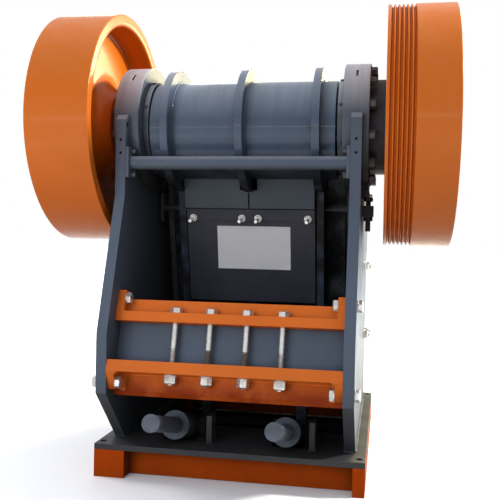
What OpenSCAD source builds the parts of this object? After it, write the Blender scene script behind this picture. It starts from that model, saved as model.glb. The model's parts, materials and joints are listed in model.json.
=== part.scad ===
// Single-toggle jaw crusher on a steel skid, seen from its toggle side along +Y.
// X runs along the eccentric shaft, Y towards the feed wall and Z up from the ground.
// The origin lies on the ground, in the middle of the four anchor bolts.

/* [Base] */
// Height of the skid under the machine
skid_h = 145; // [120:5:220]
// Width of the right skid rail
rail_w = 62; // [56:1:80]
// Width of the left skid rail
rail_left_w = 165; // [130:1:180]
// How far the skid rails stand out beyond the side plates
skid_overhang = 56; // [45:1:100]
// Thickness of the base flange plates
flange_t = 30; // [20:1:40]
// Rear edge of the base, behind the shaft
base_rear = 500; // [470:1:540]
// Front edge of the base, ahead of the shaft
base_front = 1180; // [1150:1:1240]
// How far the rear cross beam is set in from the rear edge
cross_recess = 90; // [60:5:110]
// Thickness of a skid cross beam
cross_t = 65; // [50:1:68]
// Radius of an anchor bolt hole
anchor_r = 17; // [13:0.5:20]
// Distance of the anchor holes from the base's front and rear edges
anchor_inset = 60; // [45:1:80]

/* [Side plates] */
// Height of the shaft above the underside of the base flange
shaft_rise = 1758; // [1735:1:1800]
// Distance of a side plate's inner face outside the bearing housing's inner end
plate_inset = 49; // [42:1:56]
// Thickness of a side plate
plate_t = 56; // [45:1:62]
// Width of the plate left between the bearing housing and the upper rear edge
rear_margin = 54; // [45:1:70]
// Radius of the lifting eye near the upper rear corner
eye_r = 19; // [10:0.5:20]
// Depth of the upper knee below the shaft
knee_drop = 415; // [390:1:440]
// Distance of the rear bulge behind the shaft
bulge_y = 632; // [610:1:650]
// Depth of the bulge's upper corner below the shaft
bulge_top_drop = 1125; // [1100:1:1150]
// Depth of the bulge's lower corner below the shaft
bulge_low_drop = 1430; // [1410:1:1460]
// Distance of the foot's rear end behind the shaft
foot_y = 333; // [310:1:360]
// Height of the plate's top edge above the shaft
plate_top = 25; // [15:1:35]
// Chamfer on the upper rear corner
plate_chamfer = 28; // [15:1:35]

/* [Jaws] */
// Lean of the moving jaw from the vertical
jaw_tilt = 14; // [13:0.5:15]
// Lean of the feed wall from the vertical
wall_tilt = 8; // [6:0.5:10]
// Gap between the jaw plates at the discharge
discharge_gap = 80; // [60:1:100]
// Depth of the lower end of the jaw plates below the shaft
jaw_low_drop = 1600; // [1570:1:1610]
// Height of the upper end of the jaw plates above the shaft
jaw_top_rise = 40; // [20:1:60]
// Thickness of a jaw plate behind its teeth
jaw_t = 65; // [50:1:75]
// Depth of the jaw plate teeth
tooth_depth = 28; // [18:1:34]
// Distance from one tooth to the next
tooth_pitch = 83; // [70:1:100]
// Thickness of a cheek plate
cheek_t = 36; // [25:1:38]
// Thickness of the feed wall
wall_t = 60; // [45:1:75]
// Depth of the ribs outside the feed wall
wall_rib_d = 160; // [120:5:190]
// Thickness of a feed wall rib
wall_rib_t = 40; // [30:1:50]

/* [Pitman] */
// Radius of the barrel round the eccentric
barrel_r = 272; // [260:1:285]
// Length of the barrel
barrel_len = 1018; // [990:1:1030]
// Radius of the three ring ribs
ring_r = 346; // [330:1:355]
// Thickness of a ring rib
ring_t = 42; // [30:1:50]
// Distance of an outer ring from the barrel's end
ring_inset = 99; // [85:1:112]
// Distance of the pitman's front face ahead of the shaft
pitman_front = 285; // [275:1:295]
// Distance of the pitman's back ahead of the shaft, negative behind it
pitman_back = -35; // [-50:1:-20]
// Thickness of the pitman's front plate
pitman_plate_t = 60; // [45:1:75]
// Throw of the eccentric
throw = 15; // [8:0.5:16]

/* [Shaft and wheels] */
// Radius of the flywheels
wheel_r = 650; // [620:1:660]
// Width of the flywheels
wheel_w = 350; // [320:1:380]
// Radial thickness of the rim
rim_t = 66; // [55:1:80]
// Thickness of the wheel's web
web_t = 55; // [40:1:70]
// Distance of the web behind the wheel's inner face
web_in = 148; // [135:1:160]
// Gap between the left bearing housing and its flywheel
wheel_left_gap = 25; // [22:1:45]
// Gap between the right bearing housing and its flywheel
wheel_right_gap = 82; // [70:1:95]
// Number of belt grooves in the right flywheel
groove_count = 6; // [4:1:7]
// Distance from one belt groove to the next
groove_pitch = 22; // [20:0.1:24]
// Depth of a belt groove
groove_depth = 17; // [14:1:20]
// Shaft radius in the bearings
journal_r = 125; // [115:1:135]
// Shaft radius in the wheels
seat_r = 110; // [95:1:114]
// Radius of the eccentric
eccentric_r = 155; // [152:1:165]
// Radius of a bearing housing
housing_r = 346; // [335:1:352]
// Gap between the end of the barrel and a shaft seal ring
seal_clear = 10; // [8:1:16]
// Width of a bearing housing
housing_w = 139; // [125:1:142]
// Radius of the left bearing cover
cover_left_r = 232; // [220:1:245]
// Radius of the right bearing cover
cover_right_r = 260; // [240:1:275]
// Thickness of the left bearing cover
cover_left_t = 30; // [24:1:34]
// Thickness of the right bearing cover
cover_right_t = 100; // [85:1:105]
// Radius of a shaft seal ring
seal_r = 266; // [250:1:275]

/* [Toggle] */
// Rise of the toggle and the tension rods towards the rear
toggle_tilt = 15; // [14.5:0.1:15.5]
// Distance of the toggle beam's rear face behind the shaft
beam_y = 462; // [450:1:474]
// Depth of the middle of the toggle beam below the shaft
beam_drop = 1189; // [1175:1:1205]
// Height of the beam plate between the clamp bars
beam_h = 210; // [190:1:230]
// Thickness of the toggle beam
beam_t = 110; // [90:1:115]
// Length of the toggle plate
toggle_len = 600; // [580:1:602]
// Thickness of the toggle plate
toggle_t = 70; // [50:1:80]
// Width of the toggle plate
toggle_w = 760; // [600:5:900]
// Reach of the upper clamp bar behind the beam
upper_reach = 80; // [72:1:90]
// Reach of the lower clamp bar behind the beam
lower_reach = 138; // [130:1:146]
// Thickness of the upper clamp bar's flange
upper_t = 50; // [40:1:60]
// Thickness of the lower clamp bar's flange
lower_t = 58; // [48:1:66]
// Height of the upright wall on the upper clamp bar
upper_wall_h = 73; // [50:1:80]
// Height of the wall under the lower clamp bar
lower_wall_h = 88; // [70:1:100]
// Thickness of a clamp bar's end plate
end_t = 40; // [30:1:50]
// Radius of a clamp stud
stud_r = 15; // [12:0.5:18]
// Distance from the middle of the machine to an inner stud
stud_x = 96; // [85:1:105]
// Distance from one stud to the next on the same side
stud_step = 186; // [170:1:200]

/* [Tension rods] */
// Distance of a tension rod from the middle of the machine
rod_x = 297; // [280:1:310]
// Distance of the spring housing's rear face behind the shaft
rod_y = 400; // [390:1:410]
// Depth of the rod at the spring housing's rear face
rod_drop = 1628; // [1618:1:1634]
// Radius of a tension rod
rod_r = 41; // [32:1:44]
// Length of a rod behind its spring housing
rod_tail = 420; // [350:5:450]
// Length of a rod ahead of the spring housing's rear face
rod_nose = 700; // [670:5:705]
// Radius of a spring housing
spring_r = 77; // [68:1:79]
// Length of a spring housing
spring_len = 290; // [260:5:300]
// Thickness of a bracket plate beside a spring housing
bracket_t = 30; // [20:1:34]
// Height of the bracket plates on the rear flange
bracket_h = 150; // [120:1:170]
// Distance of the left bracket plate from its rod
bracket_left_gap = 163; // [130:1:180]
// Distance of the right bracket plate from its rod
bracket_right_gap = 119; // [110:1:140]

/* [Tie pipe and guard] */
// Radius of the tie pipe
tie_r = 36; // [30:1:42]
// Distance of the tie pipe's middle from the plate's upper rear edge
tie_inset = 55; // [48:1:62]
// Depth of the tie pipe below the shaft
tie_drop = 231; // [222:1:240]
// Thickness of the tie pipe's end flanges
tie_flange_t = 18; // [12:1:24]
// Height of the tie pipe's end flanges
tie_flange_h = 165; // [140:1:180]
// Depth of the tie pipe's end flanges
tie_flange_d = 110; // [100:1:130]
// Gap between the back plate or the guard and an outer ring
guard_gap = 7; // [4:1:24]
// Thickness of the pitman's upper back plate
back_plate_t = 40; // [25:1:50]
// Thickness of the guard plate
guard_t = 12; // [8:1:16]
// Radius of the bar through the pitman
cross_bar_r = 20; // [15:1:24]
// Gap between the end of the bar through the pitman and the side plate
cross_bar_gap = 38; // [32:1:48]

/* [Hidden] */
$fn = 96;
// Overrun of every cut
over = 2;
// Clearance of a part in its seat
seat_gap = 0.2;
// Clearance of the shaft in its bores
bore_gap = 0.1;
paint_orange = [0.80, 0.40, 0.16];
paint_grey = [0.36, 0.41, 0.47];
dark_grey = [0.18, 0.20, 0.23];
steel = [0.72, 0.74, 0.76];
cast = [0.42, 0.42, 0.44];

shaft_z = skid_h + shaft_rise;
base_len = base_rear + base_front;
shaft_y = base_rear - base_len / 2;
seal_t = 30;
seal_gap = 6;
housing_in = barrel_len / 2 + seal_clear + seal_t;
housing_out = housing_in + housing_w;
plate_in = housing_in + plate_inset;
plate_out = plate_in + plate_t;
skid_half_w = plate_out + skid_overhang;
ring_x = barrel_len / 2 - ring_inset;
rear_y = max(housing_r, ring_r) + rear_margin;
tie_y = rear_y - tie_inset;
wheel_left_x = housing_out + wheel_left_gap;
wheel_right_x = housing_out + wheel_right_gap;
guard_half_w = ring_x - ring_t / 2 - guard_gap;
ring_cut_w = ring_t + 2 * seat_gap;
cross_bar_half = plate_in - cross_bar_gap;
flange_z = skid_h - shaft_z;
floor_z = flange_z + flange_t;

rail_in = skid_half_w - rail_w;
front_flange_d = 240;
rear_flange_d = 520;
slot_gap = 8;
slot_half = spring_r + slot_gap;
slot_rear_y = rod_y - spring_r;

// Point on a plane ahead of the shaft that leans with the moving jaw
function jaw_pt(ahead, z) = [(ahead - z * sin(jaw_tilt)) / cos(jaw_tilt), z];

jaw_face = pitman_front + jaw_t + tooth_depth;
jaw_low_z = -jaw_low_drop;
wall_low_y = jaw_pt(jaw_face, jaw_low_z)[0] + discharge_gap;

// Point on a plane that leans with the feed wall, some way out from the jaw face
function wall_pt(out, z) =
    [wall_low_y + (z - jaw_low_z) * tan(wall_tilt) + out / cos(wall_tilt), z];

jaw_gap = 9;
jaw_half_w = housing_in - jaw_gap;
tooth_count = floor(2 * jaw_half_w / tooth_pitch);
tooth_land_share = 0.35;
tooth_offset_share = 0.5;
wall_in = jaw_t + tooth_depth;
wall_out = wall_in + wall_t;
rib_in = wall_out + seat_gap;
wall_top = jaw_top_rise + wall_rib_t;
plate_front = wall_out + wall_rib_t;
wall_rib_shares = [0.08, 0.36, 0.64, 0.92];
wall_post_shares = [-0.62, 0, 0.62];
wall_bottom = floor_z;

lug_rise = 42;
lug_w = 60;
lug_d = 90;
lug_h = 60;
lug_clear = 90;
lug_drop = housing_r + lug_clear;
oil_w = 9;
oil_len = 56;
oil_depth = 16;
oil_turn = 42;
hold_r = 14;
hold_len = 190;
hold_nut_r = 26;
hold_nut_h = 24;
eye_drop = 30;
tap_r = 7;
tap_depth = 30;
tap_drop = 112;
tap_step = 70;

hub_r = 205;
hub_in = 47;
hub_root_r = 280;
hub_out = 300;
rim_taper = 12;
groove_first = 24.5;
groove_top_share = 0.86;
groove_bottom_share = 0.50;
cap_r = 150;
cap_t = 24;
shaft_left = wheel_left_x + hub_out;
shaft_right = wheel_right_x + hub_out;

seat_t = 40;
back_top_drop = 255;
back_low_drop = 458;
notch_half = 50;
notch_depth = 95;
guard_low_drop = 1010;
slit_half = 3;
slit_depth = 90;
rib_low_z = -jaw_low_drop + pitman_plate_t;
plate_mid = pitman_front - pitman_plate_t / 2;
seat_block_h = 190;
seat_block_reach = 22;
toggle_reach = beam_t + seat_t + toggle_len;
seat_low_z = -beam_drop - toggle_reach * sin(toggle_tilt) - seat_block_h / 2;
lug_arm_t = 60;
lug_arm_low = 1855;
arm_step = 12;
lug_arm_d = 110;
cross_bar_drop = 450;
cross_bar_y = 210;
cross_plate_h = 170;
cross_plate_d = 60;
cross_plate_t = 18;

beam_grip = 46;
seat_h = 130;
upper_wall_t = 27;
upper_wall_back = 11;
upper_wall_front = upper_wall_t - upper_wall_back;
ear_rise = 113;
ear_top_reach = 63;
lower_wall_t = 30;
lower_lip = 24;
lower_lip_run = 20;
lower_end_reach = 81;
stud_reach = 42;
stud_head_r = 33;
stud_head_h = 30;
stud_nut_h = 44;
stud_tail = 12;
end_bolt_r = 17;
end_bolt_head_r = 33;
end_bolt_head_h = 30;
end_bolt_upper_reach = 42;
end_bolt_lower_reach = 78;
end_bolt_low_share = 0.6;
upper_low_z = beam_h / 2;
upper_mid_z = upper_low_z + upper_t / 2;
upper_top_z = upper_low_z + upper_t;
lower_top_z = -beam_h / 2;
lower_mid_z = lower_top_z - lower_t / 2;
lower_low_z = lower_top_z - lower_t;
// Reach and height of the two end bolts in the toggle beam's frame
end_bolt_places = [
    [-end_bolt_upper_reach, upper_top_z + upper_wall_h],
    [-end_bolt_lower_reach, lower_low_z - end_bolt_low_share * lower_wall_h]
];
bracket_d = 110;
bracket_y = 366;
cheek_y = 180;
cheek_h = 88;
spring_cap_t = 14;
spring_cap_lip = 4;
rod_cap_t = 16;
rod_cap_lip = 3;

function rail_width(side) = side < 0 ? rail_left_w : rail_w;
function flange_in(side) = skid_half_w - max(rail_width(side), 2 * rail_w);

// Outline in Y and Z, measured from the shaft, drawn out along X
module side_prism(x0, x1, points) {
    translate([x0, shaft_y, shaft_z])
        rotate([90, 0, 90])
            linear_extrude(x1 - x0)
                polygon(points);
}

// Box between two corners, measured from the shaft
module span_box(low, high) {
    translate([low[0], shaft_y + low[1], shaft_z + low[2]])
        cube(high - low);
}

// Cylinder along X between two places, some way off the shaft
module x_cylinder(r, x0, x1, y = 0, z = 0) {
    translate([x0, shaft_y + y, shaft_z + z])
        rotate([0, 90, 0])
            cylinder(r = r, h = x1 - x0);
}

// Children stand at a mirrored place on the left for side -1
module on_side(side) {
    if (side < 0)
        mirror([1, 0, 0]) children();
    else
        children();
}

// Frame of the toggle beam: Y forward along the toggle, Z up along the beam's face
module toggle_frame() {
    translate([0, shaft_y - beam_y, shaft_z - beam_drop])
        rotate([-toggle_tilt, 0, 0])
            children();
}

// Frame of one tension rod: Y forward along the rod from the spring housing's rear face
module rod_frame(side) {
    translate([side * rod_x, shaft_y - rod_y, shaft_z - rod_drop])
        rotate([-toggle_tilt, 0, 0])
            children();
}

// Cylinder along the Y of the present frame
module y_cylinder(r, y0, y1, sides = $fn) {
    translate([0, y0, 0])
        rotate([-90, 0, 0])
            cylinder(r = r, h = y1 - y0, $fn = sides);
}

module anchor_hole(side, y) {
    translate([side * (skid_half_w - rail_w / 2), y, -over])
        cylinder(r = anchor_r, h = skid_h + flange_t + 2 * over);
}

module anchor_holes(side) {
    for (end = [-1, 1])
        anchor_hole(side, end * (base_len / 2 - anchor_inset));
}

module skid_rail(side) {
    w = rail_width(side);
    color(paint_orange)
        difference() {
            on_side(side)
                translate([skid_half_w - w, -base_len / 2, 0])
                    cube([w, base_len, skid_h]);
            anchor_holes(side);
        }
}

module skid_rail_left() { skid_rail(-1); }
module skid_rail_right() { skid_rail(1); }

module skid_cross(y) {
    left = rail_width(-1) - skid_half_w;
    color(paint_orange)
        translate([left, y, 0])
            cube([rail_in - left, cross_t, skid_h]);
}

module skid_cross_rear() { skid_cross(-base_len / 2 + cross_recess); }
module skid_cross_front() { skid_cross(base_len / 2 - cross_t); }

module base_flange_side(side) {
    color(paint_grey)
        on_side(side)
            span_box([flange_in(side), -base_rear + rear_flange_d, flange_z],
                     [skid_half_w, base_front - front_flange_d, floor_z]);
}

module base_flange_left() { base_flange_side(-1); }
module base_flange_right() { base_flange_side(1); }

module base_flange_rear() {
    color(paint_grey)
        difference() {
            span_box([-skid_half_w, -base_rear, flange_z],
                     [skid_half_w, -base_rear + rear_flange_d, floor_z]);
            for (side = [-1, 1])
                span_box([side * rod_x - slot_half, -slot_rear_y, flange_z - over],
                         [side * rod_x + slot_half, -base_rear + rear_flange_d + over, floor_z + over]);
            anchor_holes(-1);
            anchor_holes(1);
        }
}

module base_flange_front() {
    color(paint_grey)
        difference() {
            span_box([-skid_half_w, base_front - front_flange_d, flange_z],
                     [skid_half_w, base_front, floor_z]);
            anchor_holes(-1);
            anchor_holes(1);
        }
}

// Side plate outline from the upper rear corner round to the feed wall, with the saddle on top
module side_plate(side) {
    front_low = wall_pt(plate_front, floor_z);
    front_top = wall_pt(plate_front, wall_top);
    color(paint_grey)
        difference() {
            on_side(side)
                side_prism(plate_in, plate_out, [
                    [-rear_y + plate_chamfer, plate_top],
                    [-rear_y, plate_top - plate_chamfer],
                    [-rear_y, -knee_drop],
                    [-bulge_y, -bulge_top_drop],
                    [-bulge_y, -bulge_low_drop],
                    [-foot_y, floor_z],
                    front_low,
                    front_top,
                    [front_top[0] - wall_out - wall_rib_d, wall_top],
                    [housing_r + plate_t, plate_top]
                ]);
            x_cylinder(housing_r + seat_gap, -plate_out - over, plate_out + over);
            x_cylinder(eye_r, -plate_out - over, plate_out + over, -rear_y + rear_margin / 2, -eye_drop);
            on_side(side)
                for (drop = [tap_drop, tap_drop + tap_step])
                    translate([plate_in + plate_t / 2, shaft_y - rear_y - over, shaft_z - drop])
                        rotate([-90, 0, 0])
                            cylinder(r = tap_r, h = tap_depth);
            for (place = end_bolt_places)
                end_bolt_hole(place, plate_out);
        }
}

module side_plate_left() { side_plate(-1); }
module side_plate_right() { side_plate(1); }

module feed_wall() {
    color(paint_grey)
        side_prism(-plate_in, plate_in, [
            wall_pt(wall_in, wall_bottom),
            wall_pt(wall_out, wall_bottom),
            wall_pt(wall_out, wall_top),
            wall_pt(wall_in, wall_top)
        ]);
}

function wall_rib_z(i) = wall_bottom + wall_rib_shares[i] * (wall_top - wall_bottom);

// Level ribs on the outside of the feed wall
module feed_wall_ribs() {
    color(paint_grey)
        for (i = [0 : len(wall_rib_shares) - 1]) {
            low = wall_rib_z(i) - wall_rib_t / 2;
            side_prism(-plate_in, plate_in, [
                wall_pt(rib_in, low),
                wall_pt(wall_out + wall_rib_d, low),
                wall_pt(wall_out + wall_rib_d, low + wall_rib_t),
                wall_pt(rib_in, low + wall_rib_t)
            ]);
        }
}

// Upright webs between the level ribs
module feed_wall_posts() {
    color(paint_grey)
        for (share = wall_post_shares, i = [0 : len(wall_rib_shares) - 2]) {
            x = share * plate_in;
            low = wall_rib_z(i) + wall_rib_t / 2;
            high = wall_rib_z(i + 1) - wall_rib_t / 2;
            side_prism(x - wall_rib_t / 2, x + wall_rib_t / 2, [
                wall_pt(rib_in, low),
                wall_pt(wall_out + wall_rib_d - wall_rib_t / 2, low),
                wall_pt(wall_out + wall_rib_d - wall_rib_t / 2, high),
                wall_pt(rib_in, high)
            ]);
        }
}

// Toothed outline of a jaw plate across its width, teeth towards +Y
module jaw_outline(shift_share) {
    half = tooth_pitch * tooth_land_share / 2;
    half_w = tooth_count * tooth_pitch / 2;
    difference() {
        translate([-half_w, 0])
            square([2 * half_w, jaw_t + tooth_depth]);
        for (i = [0 : tooth_count])
            translate([-half_w + (i + shift_share) * tooth_pitch, jaw_t + tooth_depth])
                polygon([
                    [-tooth_pitch / 2 + half, over],
                    [-half, -tooth_depth],
                    [half, -tooth_depth],
                    [tooth_pitch / 2 - half, over]
                ]);
    }
}

module fixed_jaw_plate() {
    low = wall_pt(0, jaw_low_z);
    rise = (jaw_top_rise - jaw_low_z) / cos(wall_tilt);
    color(cast)
        translate([0, shaft_y + low[0], shaft_z + jaw_low_z])
            rotate([-wall_tilt, 0, 0])
                translate([0, wall_in - seat_gap, 0])
                    mirror([0, 1, 0])
                        linear_extrude(rise)
                            jaw_outline(tooth_offset_share);
}

module moving_jaw_plate() {
    rise = (jaw_top_rise - jaw_low_z) / cos(jaw_tilt);
    low = jaw_pt(pitman_front, jaw_low_z);
    color(cast)
        translate([0, shaft_y + low[0], shaft_z + jaw_low_z])
            rotate([jaw_tilt, 0, 0])
                linear_extrude(rise)
                    jaw_outline(0);
}

// Liner on the inside of a side plate, between the moving and the fixed jaw
module cheek_plate(side) {
    color(cast)
        on_side(side)
            side_prism(plate_in - cheek_t, plate_in, [
                jaw_pt(pitman_front, jaw_low_z + jaw_t),
                wall_pt(wall_in - seat_gap, jaw_low_z),
                wall_pt(wall_in - seat_gap, jaw_top_rise),
                [housing_r + plate_t, plate_top],
                jaw_pt(pitman_front, -housing_r - plate_t)
            ]);
}

module cheek_plate_left() { cheek_plate(-1); }
module cheek_plate_right() { cheek_plate(1); }

// Slot for the oil pipe in the upper rear of a bearing housing
module oil_slot() {
    translate([housing_in + housing_w / 2 - oil_w / 2, shaft_y, shaft_z])
        rotate([oil_turn, 0, 0])
            translate([0, -oil_len / 2, housing_r - oil_depth])
                cube([oil_w, oil_len, oil_depth + over]);
}

// Round housing in the plate's saddle, with a foot boss for the hold-down bolt
module bearing_housing(side) {
    color(paint_grey)
        on_side(side)
            difference() {
                union() {
                    x_cylinder(housing_r, housing_in, housing_out);
                    span_box([plate_out + seat_gap, -lug_d / 2, -housing_r - lug_rise],
                             [housing_out, lug_d / 2, -housing_r / 2]);
                }
                x_cylinder(journal_r + bore_gap, housing_in - over, housing_out + over);
                oil_slot();
            }
}

module bearing_housing_left() { bearing_housing(-1); }
module bearing_housing_right() { bearing_housing(1); }

function cover_r(side) = side < 0 ? cover_left_r : cover_right_r;
function cover_t(side) = side < 0 ? cover_left_t : cover_right_t;

module bearing_cover(side) {
    color(dark_grey)
        on_side(side)
            difference() {
                x_cylinder(cover_r(side), housing_out, housing_out + cover_t(side));
                x_cylinder(journal_r + bore_gap, housing_out - over,
                           housing_out + cover_t(side) + over);
            }
}

module bearing_cover_left() { bearing_cover(-1); }
module bearing_cover_right() { bearing_cover(1); }

module shaft_seal(side) {
    color(paint_grey)
        on_side(side)
            difference() {
                x_cylinder(seal_r, housing_in - seal_t, housing_in);
                x_cylinder(eccentric_r + throw + seal_gap, housing_in - seal_t - over, housing_in + over);
            }
}

module shaft_seal_left() { shaft_seal(-1); }
module shaft_seal_right() { shaft_seal(1); }

// Lug on the side plate with the bolt that holds the bearing housing's foot down
module hold_down(side) {
    x = plate_out + lug_w / 2;
    top = -housing_r - lug_rise;
    color(dark_grey)
        on_side(side) {
            span_box([plate_out, -lug_d / 2, -lug_drop - lug_h], [plate_out + lug_w, lug_d / 2, -lug_drop]);
            translate([x, shaft_y, shaft_z + top - hold_len])
                cylinder(r = hold_r, h = hold_len);
            for (z = [top - hold_nut_h, -lug_drop - lug_h - hold_nut_h])
                translate([x, shaft_y, shaft_z + z])
                    cylinder(r = hold_nut_r, h = hold_nut_h, $fn = 6);
        }
}

module hold_down_left() { hold_down(-1); }
module hold_down_right() { hold_down(1); }

// Flange of the tie pipe, hollowed round the bearing housing
module tie_flange(side) {
    on_side(side)
        difference() {
            span_box([plate_in - tie_flange_t, -rear_y, -tie_drop - tie_flange_h / 2],
                     [plate_in, -rear_y + tie_flange_d, -tie_drop + tie_flange_h / 2]);
            x_cylinder(housing_r + slot_gap, plate_in - tie_flange_t - over, plate_in + over);
        }
}

module tie_pipe() {
    color(paint_grey) {
        x_cylinder(tie_r, -plate_in, plate_in, -tie_y, -tie_drop);
        tie_flange(-1);
        tie_flange(1);
    }
}

// Ring round the barrel, cut off just inside the front plate's face
module pitman_ring(x) {
    face = pitman_front - over;
    difference() {
        x_cylinder(ring_r, x - ring_t / 2, x + ring_t / 2, 0, -throw);
        side_prism(x - ring_t, x + ring_t, [
            jaw_pt(face, ring_r + throw),
            jaw_pt(face, -ring_r - barrel_r),
            jaw_pt(face + ring_r, -ring_r - barrel_r),
            jaw_pt(face + ring_r, ring_r + throw)
        ]);
    }
}

// Rib of the pitman from the barrel down to the toggle seat
module pitman_rib(x) {
    side_prism(x - ring_t / 2, x + ring_t / 2, [
        jaw_pt(pitman_back, -barrel_r / 2),
        jaw_pt(pitman_back, rib_low_z),
        jaw_pt(plate_mid, rib_low_z),
        jaw_pt(plate_mid, 0)
    ]);
}

// Arm under the toggle seat that a tension rod pulls on
module rod_arm(side) {
    x = side * rod_x;
    back = jaw_pt(pitman_back - seat_block_reach, seat_low_z)[0] + arm_step;
    side_prism(x - lug_arm_t / 2, x + lug_arm_t / 2, [
        [back, seat_low_z + lug_arm_t],
        [back, -lug_arm_low],
        [back + lug_arm_d / 2, -lug_arm_low],
        [back + 2 * lug_arm_d, seat_low_z + lug_arm_t]
    ]);
}

module pitman() {
    half = ring_x + ring_t / 2;
    run = seal_r + 2 * throw + jaw_gap;
    color(paint_grey)
        difference() {
            union() {
                x_cylinder(barrel_r, -barrel_len / 2, barrel_len / 2, 0, -throw);
                for (x = [-ring_x, 0, ring_x]) {
                    pitman_ring(x);
                    pitman_rib(x);
                }
                side_prism(-jaw_half_w, jaw_half_w, [
                    jaw_pt(pitman_front - pitman_plate_t, jaw_low_z),
                    jaw_pt(pitman_front, jaw_low_z),
                    jaw_pt(pitman_front, jaw_top_rise),
                    jaw_pt(pitman_front - pitman_plate_t, jaw_top_rise)
                ]);
                side_prism(-half, half, [
                    jaw_pt(pitman_back - seat_block_reach, seat_low_z + seat_block_h),
                    jaw_pt(pitman_back - seat_block_reach, seat_low_z),
                    jaw_pt(plate_mid, seat_low_z),
                    jaw_pt(plate_mid, seat_low_z + seat_block_h)
                ]);
                for (side = [-1, 1])
                    rod_arm(side);
            }
            x_cylinder(eccentric_r + bore_gap, -barrel_len / 2 - over, barrel_len / 2 + over, 0, -throw);
            x_cylinder(cross_bar_r + seat_gap, -plate_in, plate_in, cross_bar_y, -cross_bar_drop);
            for (side = [-1, 1])
                on_side(side)
                    x_cylinder(run, barrel_len / 2 + over, plate_in);
        }
}

module pitman_cross_bar() {
    color(paint_grey) {
        x_cylinder(cross_bar_r, -cross_bar_half, cross_bar_half, cross_bar_y, -cross_bar_drop);
        for (side = [-1, 1])
            on_side(side)
                span_box([cross_bar_half,
                          cross_bar_y - cross_plate_d / 2,
                          -cross_bar_drop - cross_plate_h / 2],
                         [cross_bar_half + cross_plate_t,
                          cross_bar_y + cross_plate_d / 2,
                          -cross_bar_drop + cross_plate_h / 2]);
    }
}

// Slab against the pitman's back between two depths
module back_slab(x0, x1, t, top_drop, low_drop) {
    side_prism(x0, x1, [
        jaw_pt(pitman_back - t, -top_drop),
        jaw_pt(pitman_back - t, -low_drop),
        jaw_pt(pitman_back, -low_drop),
        jaw_pt(pitman_back, -top_drop)
    ]);
}

module pitman_back_plate() {
    color(paint_grey)
        difference() {
            back_slab(-guard_half_w, guard_half_w, back_plate_t, back_top_drop, back_low_drop);
            side_prism(-notch_half, notch_half, [
                jaw_pt(pitman_back - back_plate_t - over, -back_top_drop + over),
                jaw_pt(pitman_back - back_plate_t - over, -back_top_drop - notch_depth),
                jaw_pt(pitman_back + over, -back_top_drop - notch_depth),
                jaw_pt(pitman_back + over, -back_top_drop + over)
            ]);
            for (x = [-ring_x, 0, ring_x])
                x_cylinder(ring_r + seat_gap, x - ring_cut_w / 2, x + ring_cut_w / 2, 0, -throw);
            x_cylinder(barrel_r + seat_gap, -barrel_len / 2, barrel_len / 2, 0, -throw);
            side_prism(-slit_half, slit_half, [
                jaw_pt(pitman_back - back_plate_t - over, -back_low_drop + slit_depth),
                jaw_pt(pitman_back - back_plate_t - over, -back_low_drop - over),
                jaw_pt(pitman_back + over, -back_low_drop - over),
                jaw_pt(pitman_back + over, -back_low_drop + slit_depth)
            ]);
        }
}

module guard_plate() {
    color(dark_grey)
        back_slab(-guard_half_w, guard_half_w, guard_t, back_low_drop, guard_low_drop);
}

module toggle_plate() {
    start = beam_t + seat_t;
    color(steel)
        toggle_frame() {
            translate([-toggle_w / 2, start + toggle_t / 2, -toggle_t / 2])
                cube([toggle_w, toggle_len - toggle_t, toggle_t]);
            for (y = [start + toggle_t / 2, start + toggle_len - toggle_t / 2])
                translate([-toggle_w / 2, y, 0])
                    rotate([0, 90, 0])
                        cylinder(r = toggle_t / 2, h = toggle_w);
        }
}

// Beam across the frame with the toggle's seat block on its front
module toggle_beam() {
    color(paint_grey)
        toggle_frame() {
            translate([-plate_in, 0, -beam_h / 2])
                cube([2 * plate_in, beam_t, beam_h]);
            translate([-toggle_w / 2, beam_t, -seat_h / 2])
                cube([toggle_w, seat_t, seat_h]);
        }
}

// Outline in the toggle frame's Y and Z, drawn out along X
module toggle_prism(x0, x1, points) {
    toggle_frame()
        translate([x0, 0, 0])
            rotate([90, 0, 90])
                linear_extrude(x1 - x0)
                    polygon(points);
}

module stud_holes(z0, z1) {
    for (side = [-1, 1], i = [0, 1])
        toggle_frame()
            translate([side * (stud_x + i * stud_step), -stud_reach, z0])
                cylinder(r = stud_r + seat_gap, h = z1 - z0);
}

// Hole for an end bolt, right across the machine to both sides
module end_bolt_hole(place, half) {
    toggle_frame()
        translate([-half - over, place[0], place[1]])
            rotate([0, 90, 0])
                cylinder(r = end_bolt_r + seat_gap, h = 2 * (half + over));
}

module clamp_bar_upper() {
    color(paint_orange)
        difference() {
            union() {
                toggle_prism(-plate_in, plate_in, [
                    [-upper_reach, upper_low_z],
                    [beam_grip, upper_low_z],
                    [beam_grip, upper_top_z],
                    [-upper_reach, upper_top_z]
                ]);
                toggle_prism(-plate_in, plate_in, [
                    [-upper_wall_back, upper_mid_z],
                    [upper_wall_front, upper_mid_z],
                    [upper_wall_front, upper_top_z + upper_wall_h],
                    [-upper_wall_back, upper_top_z + upper_wall_h]
                ]);
                for (side = [-1, 1])
                    on_side(side)
                        toggle_prism(plate_in - end_t, plate_in, [
                            [-upper_reach, upper_mid_z],
                            [upper_wall_front, upper_mid_z],
                            [upper_wall_front, upper_top_z + ear_rise],
                            [-ear_top_reach, upper_top_z + ear_rise],
                            [-upper_reach, upper_top_z]
                        ]);
            }
            stud_holes(upper_low_z - over, upper_top_z + over);
            end_bolt_hole(end_bolt_places[0], plate_in);
        }
}

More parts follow.
